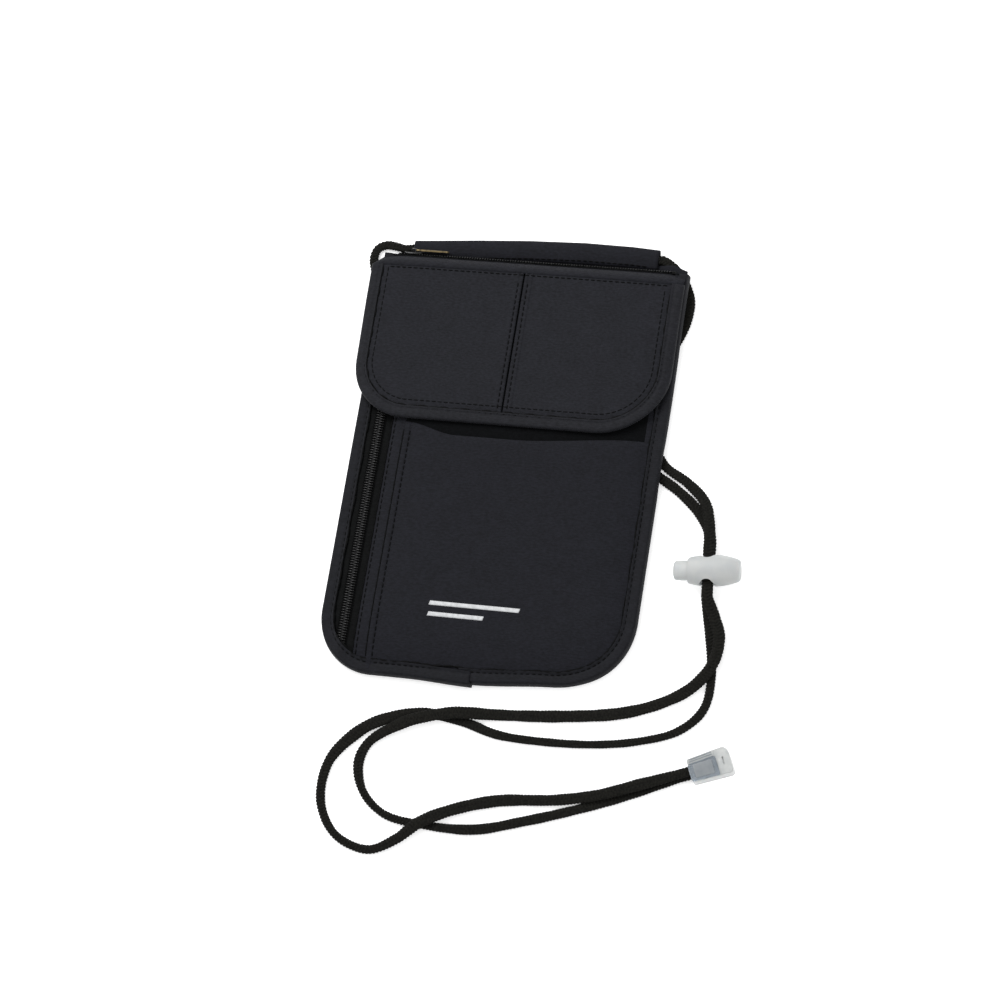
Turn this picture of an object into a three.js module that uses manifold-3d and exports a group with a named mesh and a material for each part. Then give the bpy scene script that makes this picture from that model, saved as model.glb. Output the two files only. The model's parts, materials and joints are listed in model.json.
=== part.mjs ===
// Neck pouch wallet: a flat fabric pouch with a card flap, a top zip, a side zip, a slip pocket
// and a flat neck cord that runs through a tunnel, a spring lock and a clamshell cord end.
// Millimetres, +Z up. The pouch lies on its back: +X to its right, +Y towards its top zip,
// +Z out of its front. Inside this file the pouch's bottom edge is y = 0; the last lines move
// the whole group so that the origin is under the middle of the pouch.
import * as THREE from "three";
import { mergeVertices } from "three/addons/utils/BufferGeometryUtils.js";
import Module from "manifold-3d";

const wasm = await Module();
wasm.setup();

// ---- driving dimensions -------------------------------------------------------------------

const GAP = 0.3; // clearance between neighbouring pieces

const BODY = { left: -75, right: 75, bottom: 0, top: 206.5, leftCorner: 28, rightCorner: 36 };
const FLAP = { left: -78, right: 74, bottom: 123, top: 199.3, leftCorner: 26, rightCorner: 33 };

const BINDING = { wall: 0.6, lip: 6.2, top: 9.3 }; // folded tape round the body's edge
const FLAP_BINDING = { wall: 0.5, lip: 6.2, bottom: 9.6, top: 12.2 };
const TAPE_END_X = 2; // where the body binding's two ends meet on the bottom edge

const BACK_Z = [2.4, 2.8]; // heights of the stacked fabric panels: bottom and top face
const LINING_Z = [3.7, 4.1];
const FRONT_Z = [5.7, 6.2];
const SLIP_Z = [7.9, 8.4];
const TOP_BAND_Z = [8.6, 9.3];
const FLAP_LINING_Z = [10.4, 10.8];
const FLAP_POCKET_Z = [11.1, 11.4];
const PANEL_TOP = 204; // the panels end here, below the top zip

const SLIP_LEFT = -47.5; // slip pocket's stitched left side
const SLIP_MOUTH = 121.5; // and its open top edge
const SLIT_X = -3.2; // where the flap's two card pockets meet

const HOOK_LOOP = { x: -2, y: 142, width: 34, height: 16 };
const LOOP_Z = [6.5, 8.4];
const HOOK_Z = [8.7, 10.1];

const ZIP = {
  coilHalf: 0.55, // half thickness of the coil
  coilInner: 0.7, // the two coils' inner and outer edges, from the chain's middle
  coilOuter: 2.1,
  tapeInner: 2.4,
  plateLow: 0.85, // slider plate's two faces, from the chain's plane
  plateHigh: 1.35,
  sliderLength: 9,
  sliderHalfWidth: 2.8,
  webHalf: 0.35,
  pinHeight: 2.3,
  pinRadius: 0.3,
  knuckleInner: 0.55,
  knuckleOuter: 0.85,
  earInner: 1.4,
  earOuter: 2.0,
  pullLength: 17,
  pullHalfWidth: 2,
  pullHalfThickness: 0.4,
};
const SIDE_ZIP = { x: -62.6, start: 197, end: 9, sliderAt: 9.5, plane: 5.95, tapeHalf: 6.2 };
const TOP_ZIP = { start: -66, end: 66, sliderAt: 5.5, y: 206.9, z: 5.2, tilt: 20, tapeHalf: 3.4 };

const TUNNEL = { left: -62, right: 58, bottom: 209.4, top: 218, low: 0.1, high: 3.4, wall: 0.4 };
const FLANGE = { bottom: 200, low: 1.0, high: 1.4 };

const CORD = { width: 4.2, thickness: 1.8 };

const LOCK = { x: 107.1, y: 63.25, z: 6, turn: 5, halfLength: 12.2, halfWidth: 7.4, halfHeight: 5.8 };
const LOCK_BORE = { halfWidth: 5, halfHeight: 4, end: 10.7 };
const PLUNGER = { halfWidth: 4.7, halfHeight: 3.7, start: -18.7, end: 1.7, travel: 3.5 };
const LOCK_SLOT = { middle: -2.9, halfLength: 2.8, halfHeight: 2.35 };
const SPRING = { start: 2, end: 10.4, radius: 2.4, wire: 0.35, turns: 5 };

const CLIP = { x: 118, y: -27, turn: 24.2, halfLength: 9.7, entryHalf: 5.5, endHalf: 6.6, height: 6.2 };
const CLIP_TROUGH = { end: 3, halfWidth: 3.6, floor: 0.8 };
const CLIP_COVER = { low: 6.5, high: 7.5, end: 3.4 };

// ---- helpers ------------------------------------------------------------------------------

function solidOf(geometry) {
  const bare = geometry.clone();
  bare.deleteAttribute("normal");
  bare.deleteAttribute("uv");
  const merged = mergeVertices(bare, 1e-4);
  const vertProperties = new Float32Array(merged.attributes.position.array);
  const triVerts = new Uint32Array(merged.index.array);
  return new wasm.Manifold(new wasm.Mesh({ numProp: 3, vertProperties, triVerts }));
}

function geometryOf(solid) {
  const mesh = solid.getMesh();
  const geometry = new THREE.BufferGeometry();
  geometry.setAttribute("position", new THREE.BufferAttribute(mesh.vertProperties, 3));
  geometry.setIndex(new THREE.BufferAttribute(mesh.triVerts, 1));
  return geometry;
}

function boxSolid(low, high) {
  const size = high.map((value, axis) => value - low[axis]);
  const geometry = new THREE.BoxGeometry(...size);
  geometry.translate(...high.map((value, axis) => (value + low[axis]) / 2));
  return solidOf(geometry);
}

// A plate with a square top and two rounded bottom corners, shrunk by `inset` on its left,
// bottom and right sides.
function pocketPlate(edge, inset, top, low, high) {
  const left = edge.left + inset;
  const right = edge.right - inset;
  const bottom = edge.bottom + inset;
  const near = edge.leftCorner - inset;
  const far = edge.rightCorner - inset;
  const shape = new THREE.Shape();
  shape.moveTo(left, top);
  shape.lineTo(left, bottom + near);
  shape.absarc(left + near, bottom + near, near, Math.PI, 1.5 * Math.PI, false);
  shape.lineTo(right - far, bottom);
  shape.absarc(right - far, bottom + far, far, 1.5 * Math.PI, 2 * Math.PI, false);
  shape.lineTo(right, top);
  shape.closePath();
  const options = { depth: high - low, bevelEnabled: false, curveSegments: 8 };
  return solidOf(new THREE.ExtrudeGeometry(shape, options).translate(0, 0, low));
}

// Folded tape: a C-shaped channel that grips the pouch's or the flap's edge on three sides.
function bindingChannel(edge, bottom, top, wall, lip) {
  const past = edge.top + 5;
  return pocketPlate(edge, 0, edge.top, bottom, top)
    .subtract(pocketPlate(edge, wall, past, bottom + wall, top - wall))
    .subtract(pocketPlate(edge, lip, past, bottom - 1, top + 1));
}

// The part of a plate between two x values.
function strip(plate, left, right) {
  return plate.intersect(boxSolid([left, -50, -50], [right, 300, 50]));
}

// An x-z outline pushed out along y.
function acrossSolid(shape, halfWidth) {
  const options = { depth: 2 * halfWidth, bevelEnabled: false, curveSegments: 6 };
  const geometry = new THREE.ExtrudeGeometry(shape, options);
  return solidOf(geometry.translate(0, 0, -halfWidth).rotateX(Math.PI / 2));
}

// A solid of revolution about x, squashed in z. `profile` is a list of [x, radius].
function barrelSolid(profile, squash, sides) {
  const points = profile.map(([along, radius]) => new THREE.Vector2(radius, along));
  const geometry = new THREE.LatheGeometry(points, sides);
  return solidOf(geometry.rotateZ(-Math.PI / 2).scale(1, 1, squash));
}

// A curve that is stepped from route point to route point, so straight stretches stay straight,
// and whose section keeps its thin side up along the whole route.
class RoutePath extends THREE.CatmullRomCurve3 {
  getSpacedPoints(divisions) {
    return this.getPoints(divisions);
  }
  computeFrenetFrames(segments) {
    const up = new THREE.Vector3(0, 0, 1);
    const frames = { tangents: [], normals: [], binormals: [] };
    for (let step = 0; step <= segments; step += 1) {
      const tangent = this.getTangent(step / segments);
      const normal = up.clone().addScaledVector(tangent, -up.dot(tangent)).normalize();
      frames.tangents.push(tangent);
      frames.normals.push(normal);
      frames.binormals.push(tangent.clone().cross(normal));
    }
    return frames;
  }
}

// Flat cord: an eight-sided flattened section along a route that lies near the ground plane.
function flatCord(route) {
  const path = new RoutePath(route.map((point) => new THREE.Vector3(...point)));
  const section = new THREE.Shape();
  const sides = 8;
  for (let side = 0; side < sides; side += 1) {
    const angle = (2 * Math.PI * (side + 0.5)) / sides;
    const reach = 1 / Math.cos(Math.PI / sides);
    const across = (CORD.width / 2) * Math.sin(angle) * reach;
    const up = (CORD.thickness / 2) * Math.cos(angle) * reach;
    if (side === 0) section.moveTo(up, across);
    else section.lineTo(up, across);
  }
  section.closePath();
  const steps = 2 * (route.length - 1);
  return new THREE.ExtrudeGeometry(section, { steps, extrudePath: path });
}

const COLOURS = {
  fabric: { color: 0x26272b, roughness: 0.82, metalness: 0 },
  binding: { color: 0x2a2b2f, roughness: 0.75, metalness: 0 },
  lining: { color: 0x17181a, roughness: 0.9, metalness: 0 },
  zip: { color: 0x141416, roughness: 0.5, metalness: 0 },
  metal: { color: 0x1a1a1b, roughness: 0.35, metalness: 0.8 },
  cord: { color: 0x1c1c19, roughness: 0.9, metalness: 0 },
  frosted: { color: 0xd6dada, roughness: 0.45, metalness: 0 },
  clear: { color: 0xc8d0d6, roughness: 0.2, metalness: 0 },
  steel: { color: 0xb0b4b8, roughness: 0.3, metalness: 0.9 },
};

const root = new THREE.Group();

function add(name, finish, shape, parent = root) {
  const geometry = shape.isBufferGeometry ? shape : geometryOf(shape);
  const mesh = new THREE.Mesh(geometry, new THREE.MeshStandardMaterial(COLOURS[finish]));
  mesh.name = name;
  parent.add(mesh);
  return mesh;
}

// ---- pouch body: stacked panels held in a folded binding ------------------------------------

const PANEL_INSET = BINDING.wall + GAP;

function bodyPlate([low, high]) {
  return pocketPlate(BODY, PANEL_INSET, PANEL_TOP, low, high);
}

const tapeInnerEdge = SIDE_ZIP.x + ZIP.tapeInner;
const tapeOuterEdge = SIDE_ZIP.x - ZIP.tapeInner;
const frontLeft = SIDE_ZIP.x + SIDE_ZIP.tapeHalf + GAP;

add("back_panel", "fabric", bodyPlate(BACK_Z));
add("main_pocket_lining", "lining", bodyPlate(LINING_Z));
add("front_panel", "fabric", strip(bodyPlate(FRONT_Z), frontLeft, BODY.right));
add("side_zip_tape_outer", "zip", strip(bodyPlate(FRONT_Z), BODY.left, tapeOuterEdge));
add("side_zip_tape_inner", "zip", strip(bodyPlate(FRONT_Z), tapeInnerEdge, frontLeft - GAP));

const slipPlate = pocketPlate(BODY, PANEL_INSET, SLIP_MOUTH, ...SLIP_Z);
add("slip_pocket_panel", "fabric", strip(slipPlate, SLIP_LEFT, BODY.right));

const bandHalf = BODY.right - BINDING.lip - GAP;
add("top_band", "fabric", boxSolid(
  [-bandHalf, FLAP.top + 2 * GAP, TOP_BAND_Z[0]],
  [bandHalf, PANEL_TOP + 1, TOP_BAND_Z[1]],
));

// The neck cord passes under the pouch, so the binding's lower lip is open where it does.
const CORD_WAYS = [
  { from: [-80, 182, -1], to: [-66, 206, 2.3] },
  { from: [66, 154, -1], to: [80, 207, 2.3] },
  { from: [66, 99, -1], to: [80, 133, 2.3] },
];

function bodyBinding(left, right) {
  const ring = bindingChannel(BODY, 0, BINDING.top, BINDING.wall, BINDING.lip);
  return CORD_WAYS.reduce(
    (solid, way) => solid.subtract(boxSolid(way.from, way.to)),
    strip(ring, left, right),
  );
}

add("body_binding_left", "binding", bodyBinding(BODY.left - 1, TAPE_END_X));
add("body_binding_right", "binding", bodyBinding(TAPE_END_X + GAP, BODY.right + 1));

const loopHalf = HOOK_LOOP.width / 2;
function closurePatch([low, high]) {
  const { x, y, height } = HOOK_LOOP;
  return boxSolid([x - loopHalf, y - height / 2, low], [x + loopHalf, y + height / 2, high]);
}
add("loop_patch", "lining", closurePatch(LOOP_Z));

// ---- cord tunnel: a folded strip sewn under the back panel's top edge -----------------------

function cordTunnel() {
  const { left, right, bottom, top, low, high, wall } = TUNNEL;
  return boxSolid([left, bottom, low], [right, top, high])
    .subtract(boxSolid([left - 1, bottom + wall, low + wall], [right + 1, top - wall, high - wall]))
    .add(boxSolid([left, FLANGE.bottom, FLANGE.low], [right, bottom + wall / 2, FLANGE.high]));
}
add("cord_tunnel", "fabric", cordTunnel());

// ---- zips ---------------------------------------------------------------------------------
// A zip is built along +x with its chain in the plane z = 0 and its slider's pull above it.

function zipSlider() {
  const half = ZIP.sliderLength / 2;
  const wide = ZIP.sliderHalfWidth;
  const pin = new THREE.CylinderGeometry(ZIP.pinRadius, ZIP.pinRadius, 2 * ZIP.earInner + 0.4, 10);
  const parts = [
    boxSolid([-half, -wide, ZIP.plateLow], [half, wide, ZIP.plateHigh]),
    boxSolid([-half, -wide, -ZIP.plateHigh], [half, wide, -ZIP.plateLow]),
    boxSolid([-half + 1, -ZIP.webHalf, -1], [half - 1, ZIP.webHalf, 1]),
    solidOf(pin.translate(0, 0, 0)).translate([0, 0, ZIP.pinHeight]),
  ];
  const earTop = ZIP.pinHeight + ZIP.knuckleInner;
  for (const side of [-1, 1]) {
    const near = Math.min(side * ZIP.earInner, side * ZIP.earOuter);
    const far = Math.max(side * ZIP.earInner, side * ZIP.earOuter);
    parts.push(boxSolid([-0.8, near, ZIP.plateLow + 0.1], [0.8, far, earTop]));
  }
  return parts.reduce((whole, part) => whole.add(part));
}

function zipPull() {
  const knuckle = new THREE.Shape().absarc(0, 0, ZIP.knuckleOuter, 0, 2 * Math.PI);
  const eye = new THREE.Shape().absarc(0, 0, ZIP.knuckleInner, 0, 2 * Math.PI);
  const halfWidth = ZIP.earInner - 0.2;
  const thick = ZIP.pullHalfThickness;
  const neck = boxSolid([0.2, -halfWidth, -thick], [4, halfWidth, thick]);
  const tab = boxSolid([3.2, -ZIP.pullHalfWidth, -thick], [ZIP.pullLength, ZIP.pullHalfWidth, thick]);
  return acrossSolid(knuckle, halfWidth)
    .add(neck)
    .add(tab)
    .subtract(acrossSolid(eye, halfWidth + 1))
    .translate([0, 0, ZIP.pinHeight]);
}

function coilBar(length, side) {
  const near = Math.min(side * ZIP.coilInner, side * ZIP.coilOuter);
  const far = Math.max(side * ZIP.coilInner, side * ZIP.coilOuter);
  return boxSolid([0, near, -ZIP.coilHalf], [length, far, ZIP.coilHalf]);
}

function zipStop(at) {
  const low = [at, -ZIP.coilOuter, -ZIP.coilHalf];
  return boxSolid(low, [at + 1.5, ZIP.coilOuter, ZIP.coilHalf]);
}

function zipGroup(prefix, length, sliderAt, sideNames, stopNames) {
  const group = new THREE.Group();
  add(`${prefix}_coil_${sideNames[0]}`, "zip", coilBar(length, 1), group);
  add(`${prefix}_coil_${sideNames[1]}`, "zip", coilBar(length, -1), group);
  add(`${prefix}_${stopNames[0]}`, "metal", zipStop(-1.5 - GAP), group);
  add(`${prefix}_${stopNames[1]}`, "metal", zipStop(length + GAP), group);
  add(`${prefix}_slider`, "metal", zipSlider(), group).position.x = sliderAt;
  add(`${prefix}_pull`, "metal", zipPull(), group).position.x = sliderAt;
  root.add(group);
  return group;
}

const sideZip = zipGroup(
  "side_zip", SIDE_ZIP.start - SIDE_ZIP.end, SIDE_ZIP.sliderAt,
  ["inner", "outer"], ["top_stop", "bottom_stop"],
);
sideZip.position.set(SIDE_ZIP.x, SIDE_ZIP.start, SIDE_ZIP.plane);
sideZip.rotation.z = -Math.PI / 2;

const topZip = zipGroup(
  "top_zip", TOP_ZIP.end - TOP_ZIP.start, TOP_ZIP.sliderAt,
  ["rear", "front"], ["left_stop", "right_stop"],
);
topZip.position.set(TOP_ZIP.start, TOP_ZIP.y, TOP_ZIP.z);
topZip.rotation.x = THREE.MathUtils.degToRad(TOP_ZIP.tilt - 90);

const topTapeLength = TOP_ZIP.end - TOP_ZIP.start + 2;
function topTape(near, far) {
  return boxSolid([-1, near, -0.25], [topTapeLength - 1, far, 0.25]);
}
add("top_zip_tape_rear", "zip", topTape(ZIP.tapeInner, TOP_ZIP.tapeHalf), topZip);
add("top_zip_tape_front", "zip", topTape(-TOP_ZIP.tapeHalf, -ZIP.tapeInner), topZip);

// ---- flap: lining, two card pockets that meet at a slit, and their binding ------------------

const FLAP_INSET = FLAP_BINDING.wall + GAP;
function flapPlate([low, high]) {
  return pocketPlate(FLAP, FLAP_INSET, FLAP.top, low, high);
}
add("flap_lining", "lining", flapPlate(FLAP_LINING_Z));
add("flap_pocket_left", "fabric", strip(flapPlate(FLAP_POCKET_Z), FLAP.left, SLIT_X - GAP));
add("flap_pocket_right", "fabric", strip(flapPlate(FLAP_POCKET_Z), SLIT_X + GAP, FLAP.right));
add("flap_binding", "binding", bindingChannel(
  FLAP, FLAP_BINDING.bottom, FLAP_BINDING.top, FLAP_BINDING.wall, FLAP_BINDING.lip,
));
add("hook_patch", "lining", closurePatch(HOOK_Z));

// ---- neck cord ------------------------------------------------------------------------------
// One flat cord: through the tunnel, round both top corners and under the pouch, out past its
// right edge, through the lock one strand above the other, and round to the cord end.

const LOW = 1.1; // cord lying on the ground
const OVER = 3.6; // and where it crosses above the other strand
const TUNNEL_Z = (TUNNEL.low + TUNNEL.high) / 2;
const TUNNEL_RUN_LEFT = 211.9; // where the cord lies in the tunnel's left end
const TUNNEL_RUN_RIGHT = 214; // and in its right end
const STRAND_LOW = 4.9; // the two strands' heights in the lock
const STRAND_HIGH = 7.1;
const END_LOW = 2.0; // and in the cord end
const END_HIGH = 4.2;

const leftRoute = [
  [TUNNEL.left - GAP, TUNNEL_RUN_LEFT, TUNNEL_Z],
  [-67.2, 211.2, 1.6],
  [-72.3, 212.2, 1.4],
  [-76.6, 212.4, LOW],
  [-80.2, 210.4, LOW],
  [-81.5, 206.4, LOW],
  [-80.4, 201, LOW],
  [-75.5, 192.5, LOW],
  [10, 136, LOW],
  [75, 106.5, LOW],
  [88, 98, 1.5],
  [96.5, 90, 2.6],
  [101.2, 83, 4.2],
  [102.8, 78, STRAND_LOW],
  [104.8, 56, STRAND_LOW],
  [105.2, 50, 4.1],
  [106.8, 41, 2.0],
  [112, 13, LOW],
  [110.2, -1.5, LOW],
  [100.5, -12, LOW],
  [83.5, -18.5, LOW],
  [60, -22.5, LOW],
  [27.3, -23.2, LOW],
  [15.2, -21.9, LOW],
  [2.8, -18.4, LOW],
  [-12.6, -15.9, LOW],
  [-21.5, -16.1, LOW],
  [-38.6, -21.3, LOW],
  [-49, -28.5, LOW],
  [-59.5, -43, LOW],
  [-60, -62, LOW],
  [-50.5, -76.5, LOW],
  [-34, -81.8, LOW],
  [-21.5, -76, 2.4],
  [-11.5, -67.3, OVER],
  [2, -59.8, 2.4],
  [22, -53, LOW],
  [50, -49.6, 1.6],
  [68, -45.8, 3.0],
  [88, -38.6, 3.8],
  [110, -30.2, END_HIGH],
  [119.2, -26.4, END_HIGH],
];

const rightRoute = [
  [TUNNEL.right + GAP, TUNNEL_RUN_RIGHT, TUNNEL_Z],
  [TUNNEL.right + 2, TUNNEL_RUN_RIGHT, TUNNEL_Z],
  [66, 210.5, 1.3],
  [72, 203.5, LOW],
  [75.8, 194, LOW],
  [74.5, 180, LOW],
  [68, 163, LOW],
  [64.5, 145, LOW],
  [67, 128, LOW],
  [75, 113.5, LOW],
  [88, 105, 2.2],
  [97.5, 96, 4.4],
  [101.6, 86, 6.4],
  [102.8, 78, STRAND_HIGH],
  [104.8, 56, STRAND_HIGH],
  [105.9, 50, 6.6],
  [109.8, 42, 4.6],
  [113.4, 32, 3.8],
  [112, 20, OVER],
  [104.5, 9, 2.4],
  [92.5, 1, LOW],
  [74, -6.2, LOW],
  [45, -10.8, LOW],
  [13, -13.3, 1.5],
  [2.6, -14.1, OVER],
  [-5.6, -14.9, OVER],
  [-20.4, -19, OVER],
  [-28, -22.4, 3.4],
  [-42, -32, 1.3],
  [-45.3, -42, LOW],
  [-41, -55, LOW],
  [-29.5, -64.5, LOW],
  [-11.5, -67.6, LOW],
  [14, -67.2, LOW],
  [36, -61, LOW],
  [60, -52.8, LOW],
  [86, -42, LOW],
  [104, -33.6, 1.6],
  [110, -31.4, END_LOW],
  [119.4, -27.8, END_LOW],
];

const tunnelRoute = [
  [TUNNEL.left, TUNNEL_RUN_LEFT, TUNNEL_Z],
  [-22, 212.6, TUNNEL_Z],
  [18, 213.4, TUNNEL_Z],
  [TUNNEL.right, TUNNEL_RUN_RIGHT, TUNNEL_Z],
];

add("neck_cord_left", "cord", flatCord(leftRoute));
add("neck_cord_right", "cord", flatCord(rightRoute));
add("neck_cord_in_tunnel", "cord", flatCord(tunnelRoute));

// ---- cord lock: barrel, plunger and spring, built along +x about its own middle ---------------

function lockBarrel() {
  const half = LOCK.halfLength;
  const endRadius = 0.66 * LOCK.halfWidth;
  const outer = [[-half, 0]];
  const bands = 8;
  for (let band = 0; band <= bands; band += 1) {
    const along = -half + (2 * half * band) / bands;
    const bulge = 1 - (along / half) ** 2;
    outer.push([along, endRadius + (LOCK.halfWidth - endRadius) * bulge]);
  }
  outer.push([half, 0]);
  const bore = [[-half - 1, 0], [-half - 1, LOCK_BORE.halfWidth], [LOCK_BORE.end, LOCK_BORE.halfWidth]];
  bore.push([LOCK_BORE.end, 0]);
  const boreSquash = LOCK_BORE.halfHeight / LOCK_BORE.halfWidth;
  const { middle, halfLength, halfHeight } = LOCK_SLOT;
  const slotLow = [middle - halfLength, -20, -halfHeight];
  return barrelSolid(outer, LOCK.halfHeight / LOCK.halfWidth, 24)
    .subtract(barrelSolid(bore, boreSquash, 24))
    .subtract(boxSolid(slotLow, [middle + halfLength, 20, halfHeight]));
}

function lockPlunger() {
  const { halfWidth, halfHeight, start, end, travel } = PLUNGER;
  const profile = [[start, 0], [start, halfWidth - 0.8], [start + 0.8, halfWidth]];
  profile.push([end, halfWidth], [end, 0]);
  const slotEnd = CORD.width / 2 + GAP;
  const low = [LOCK_SLOT.middle - slotEnd - travel, -20, -LOCK_SLOT.halfHeight];
  const high = [LOCK_SLOT.middle + slotEnd, 20, LOCK_SLOT.halfHeight];
  return barrelSolid(profile, halfHeight / halfWidth, 24).subtract(boxSolid(low, high));
}

class SpringPath extends THREE.Curve {
  getPoint(t, target = new THREE.Vector3()) {
    const angle = 2 * Math.PI * SPRING.turns * t;
    const low = SPRING.start + SPRING.wire;
    const high = SPRING.end - SPRING.wire;
    const y = SPRING.radius * Math.cos(angle);
    return target.set(low + (high - low) * t, y, SPRING.radius * Math.sin(angle));
  }
}

function lockSpring() {
  const wire = new THREE.Shape().absarc(0, 0, SPRING.wire, 0, 2 * Math.PI);
  const steps = 12 * SPRING.turns;
  const options = { steps, curveSegments: 3, extrudePath: new SpringPath() };
  return new THREE.ExtrudeGeometry(wire, options);
}

const lock = new THREE.Group();
add("cord_lock_barrel", "frosted", lockBarrel(), lock);
add("cord_lock_plunger", "frosted", lockPlunger(), lock);
add("cord_lock_spring", "steel", lockSpring(), lock);
lock.position.set(LOCK.x, LOCK.y, LOCK.z);
lock.rotation.z = THREE.MathUtils.degToRad(LOCK.turn);
root.add(lock);

// ---- cord end: a trough that takes both cord tips, and its hinged cover ----------------------

// The cord end's outline from its entry to `end`, which widens towards its closed end.
function clipPlate(end, low, high) {
  const { halfLength, entryHalf, endHalf } = CLIP;
  const half = entryHalf + ((endHalf - entryHalf) * (end + halfLength)) / (2 * halfLength);
  const shape = new THREE.Shape();
  shape.moveTo(-halfLength, -entryHalf);
  shape.lineTo(end, -half);
  shape.lineTo(end, half);
  shape.lineTo(-halfLength, entryHalf);
  shape.closePath();
  const options = { depth: high - low, bevelEnabled: false };
  return solidOf(new THREE.ExtrudeGeometry(shape, options).translate(0, 0, low));
}

function clipBase() {
  const { halfLength, height } = CLIP;
  const trough = CLIP_TROUGH;
  const low = [-halfLength - 1, -trough.halfWidth, trough.floor];
  return clipPlate(halfLength, 0, height)
    .subtract(boxSolid(low, [trough.end, trough.halfWidth, height + 1]));
}

const clip = new THREE.Group();
add("cord_end_base", "clear", clipBase(), clip);
add("cord_end_cover", "clear", clipPlate(CLIP_COVER.end, CLIP_COVER.low, CLIP_COVER.high), clip);
clip.position.set(CLIP.x, CLIP.y, 0);
clip.rotation.z = THREE.MathUtils.degToRad(CLIP.turn);
root.add(clip);

// ---- origin: under the middle of the pouch ----------------------------------------------------

const middleX = (FLAP.left + BODY.right) / 2;
const middleY = (BODY.bottom + TUNNEL.top) / 2;
root.position.set(-middleX, -middleY, 0);

const model = new THREE.Group();
model.add(root);
export default model;
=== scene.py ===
"""Neck pouch wallet: a black fabric pouch with a card flap, two zips, a flat neck cord, a frosted
cord lock and a clear cord end, laid on its back on a white table.

Lengths are in metres. The pouch's own drawing puts its bottom edge at y = 0 and the middle of its
body at x = 0; `place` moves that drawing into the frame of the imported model.
"""
import json
import math

import bmesh
import bpy
import numpy as np
from mathutils import Matrix, Vector

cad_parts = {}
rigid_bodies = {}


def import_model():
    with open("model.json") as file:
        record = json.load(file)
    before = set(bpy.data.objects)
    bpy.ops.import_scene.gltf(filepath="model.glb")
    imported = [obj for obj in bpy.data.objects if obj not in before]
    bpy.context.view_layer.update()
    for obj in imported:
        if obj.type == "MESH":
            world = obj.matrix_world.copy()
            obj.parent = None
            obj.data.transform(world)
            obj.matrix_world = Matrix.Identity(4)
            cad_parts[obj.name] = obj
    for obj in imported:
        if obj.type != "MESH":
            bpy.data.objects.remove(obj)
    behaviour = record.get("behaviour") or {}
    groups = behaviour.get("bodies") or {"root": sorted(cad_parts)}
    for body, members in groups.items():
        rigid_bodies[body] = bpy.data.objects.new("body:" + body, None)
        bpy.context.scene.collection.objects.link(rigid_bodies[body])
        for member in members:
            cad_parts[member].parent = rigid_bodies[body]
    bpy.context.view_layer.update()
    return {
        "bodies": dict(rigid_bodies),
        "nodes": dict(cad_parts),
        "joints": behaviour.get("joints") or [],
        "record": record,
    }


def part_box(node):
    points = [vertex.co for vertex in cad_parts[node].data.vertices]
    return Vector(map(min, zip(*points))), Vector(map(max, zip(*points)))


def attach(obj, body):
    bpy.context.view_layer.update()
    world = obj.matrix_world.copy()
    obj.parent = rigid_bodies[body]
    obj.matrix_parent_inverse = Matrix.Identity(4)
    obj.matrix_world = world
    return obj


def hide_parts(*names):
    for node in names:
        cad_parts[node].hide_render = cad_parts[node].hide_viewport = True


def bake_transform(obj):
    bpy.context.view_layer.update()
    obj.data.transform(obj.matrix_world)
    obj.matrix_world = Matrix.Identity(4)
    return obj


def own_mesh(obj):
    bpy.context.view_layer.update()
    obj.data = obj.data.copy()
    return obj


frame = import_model()
MM = 0.001

# ---- where the drawing sits in the frame ----

LEFT_LOW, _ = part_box("body_binding_left")
_, RIGHT_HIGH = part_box("body_binding_right")
ORIGIN = np.array([(LEFT_LOW[0] + RIGHT_HIGH[0]) / 2, LEFT_LOW[1], 0.0])

# An outline: its edges, and the radii of its bottom left ("near") and bottom right ("far") corners.
BODY = {
    "left": -75 * MM, "right": 75 * MM, "bottom": 0.0, "top": 206.5 * MM,
    "near": 28 * MM, "far": 36 * MM,
}
FLAP = {
    "left": -79.3 * MM, "right": 74 * MM, "bottom": 123 * MM, "top": 199.4 * MM,
    "near": 29 * MM, "far": 33 * MM,
}


def place(points):
    """Points of the pouch's drawing, moved into the frame."""
    return np.asarray(points, float) + ORIGIN


# ---- camera ----

AZIMUTH, ELEVATION, ROLL = (math.radians(degrees) for degrees in (41.6, 67.35, -34.37))
CAMERA_DISTANCE = 1.663
CAMERA_TARGET = (0.0001, 0.0898, 0.0)
LENS = 128.4  # mm, on a sensor 36 mm wide


def make_camera():
    away = Vector((
        math.sin(AZIMUTH) * math.cos(ELEVATION),
        -math.cos(AZIMUTH) * math.cos(ELEVATION),
        math.sin(ELEVATION),
    ))
    level = (-away).cross(Vector((0, 0, 1))).normalized()
    upright = level.cross(-away)
    right = math.cos(ROLL) * level + math.sin(ROLL) * upright
    up = math.cos(ROLL) * upright - math.sin(ROLL) * level
    turn = Matrix((right, up, away)).transposed().to_4x4()
    data = bpy.data.cameras.new("camera")
    data.lens = LENS
    data.sensor_width = 36
    data.clip_end = 10
    camera = bpy.data.objects.new("camera", data)
    bpy.context.collection.objects.link(camera)
    eye = Vector(place(CAMERA_TARGET)) + away * CAMERA_DISTANCE
    camera.matrix_world = Matrix.Translation(eye) @ turn
    bpy.context.scene.camera = camera


make_camera()

# ---- stage: white table and soft light ----

FLOOR_HALF = 3.0
FLOOR_LEVEL = -0.0002


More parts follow.
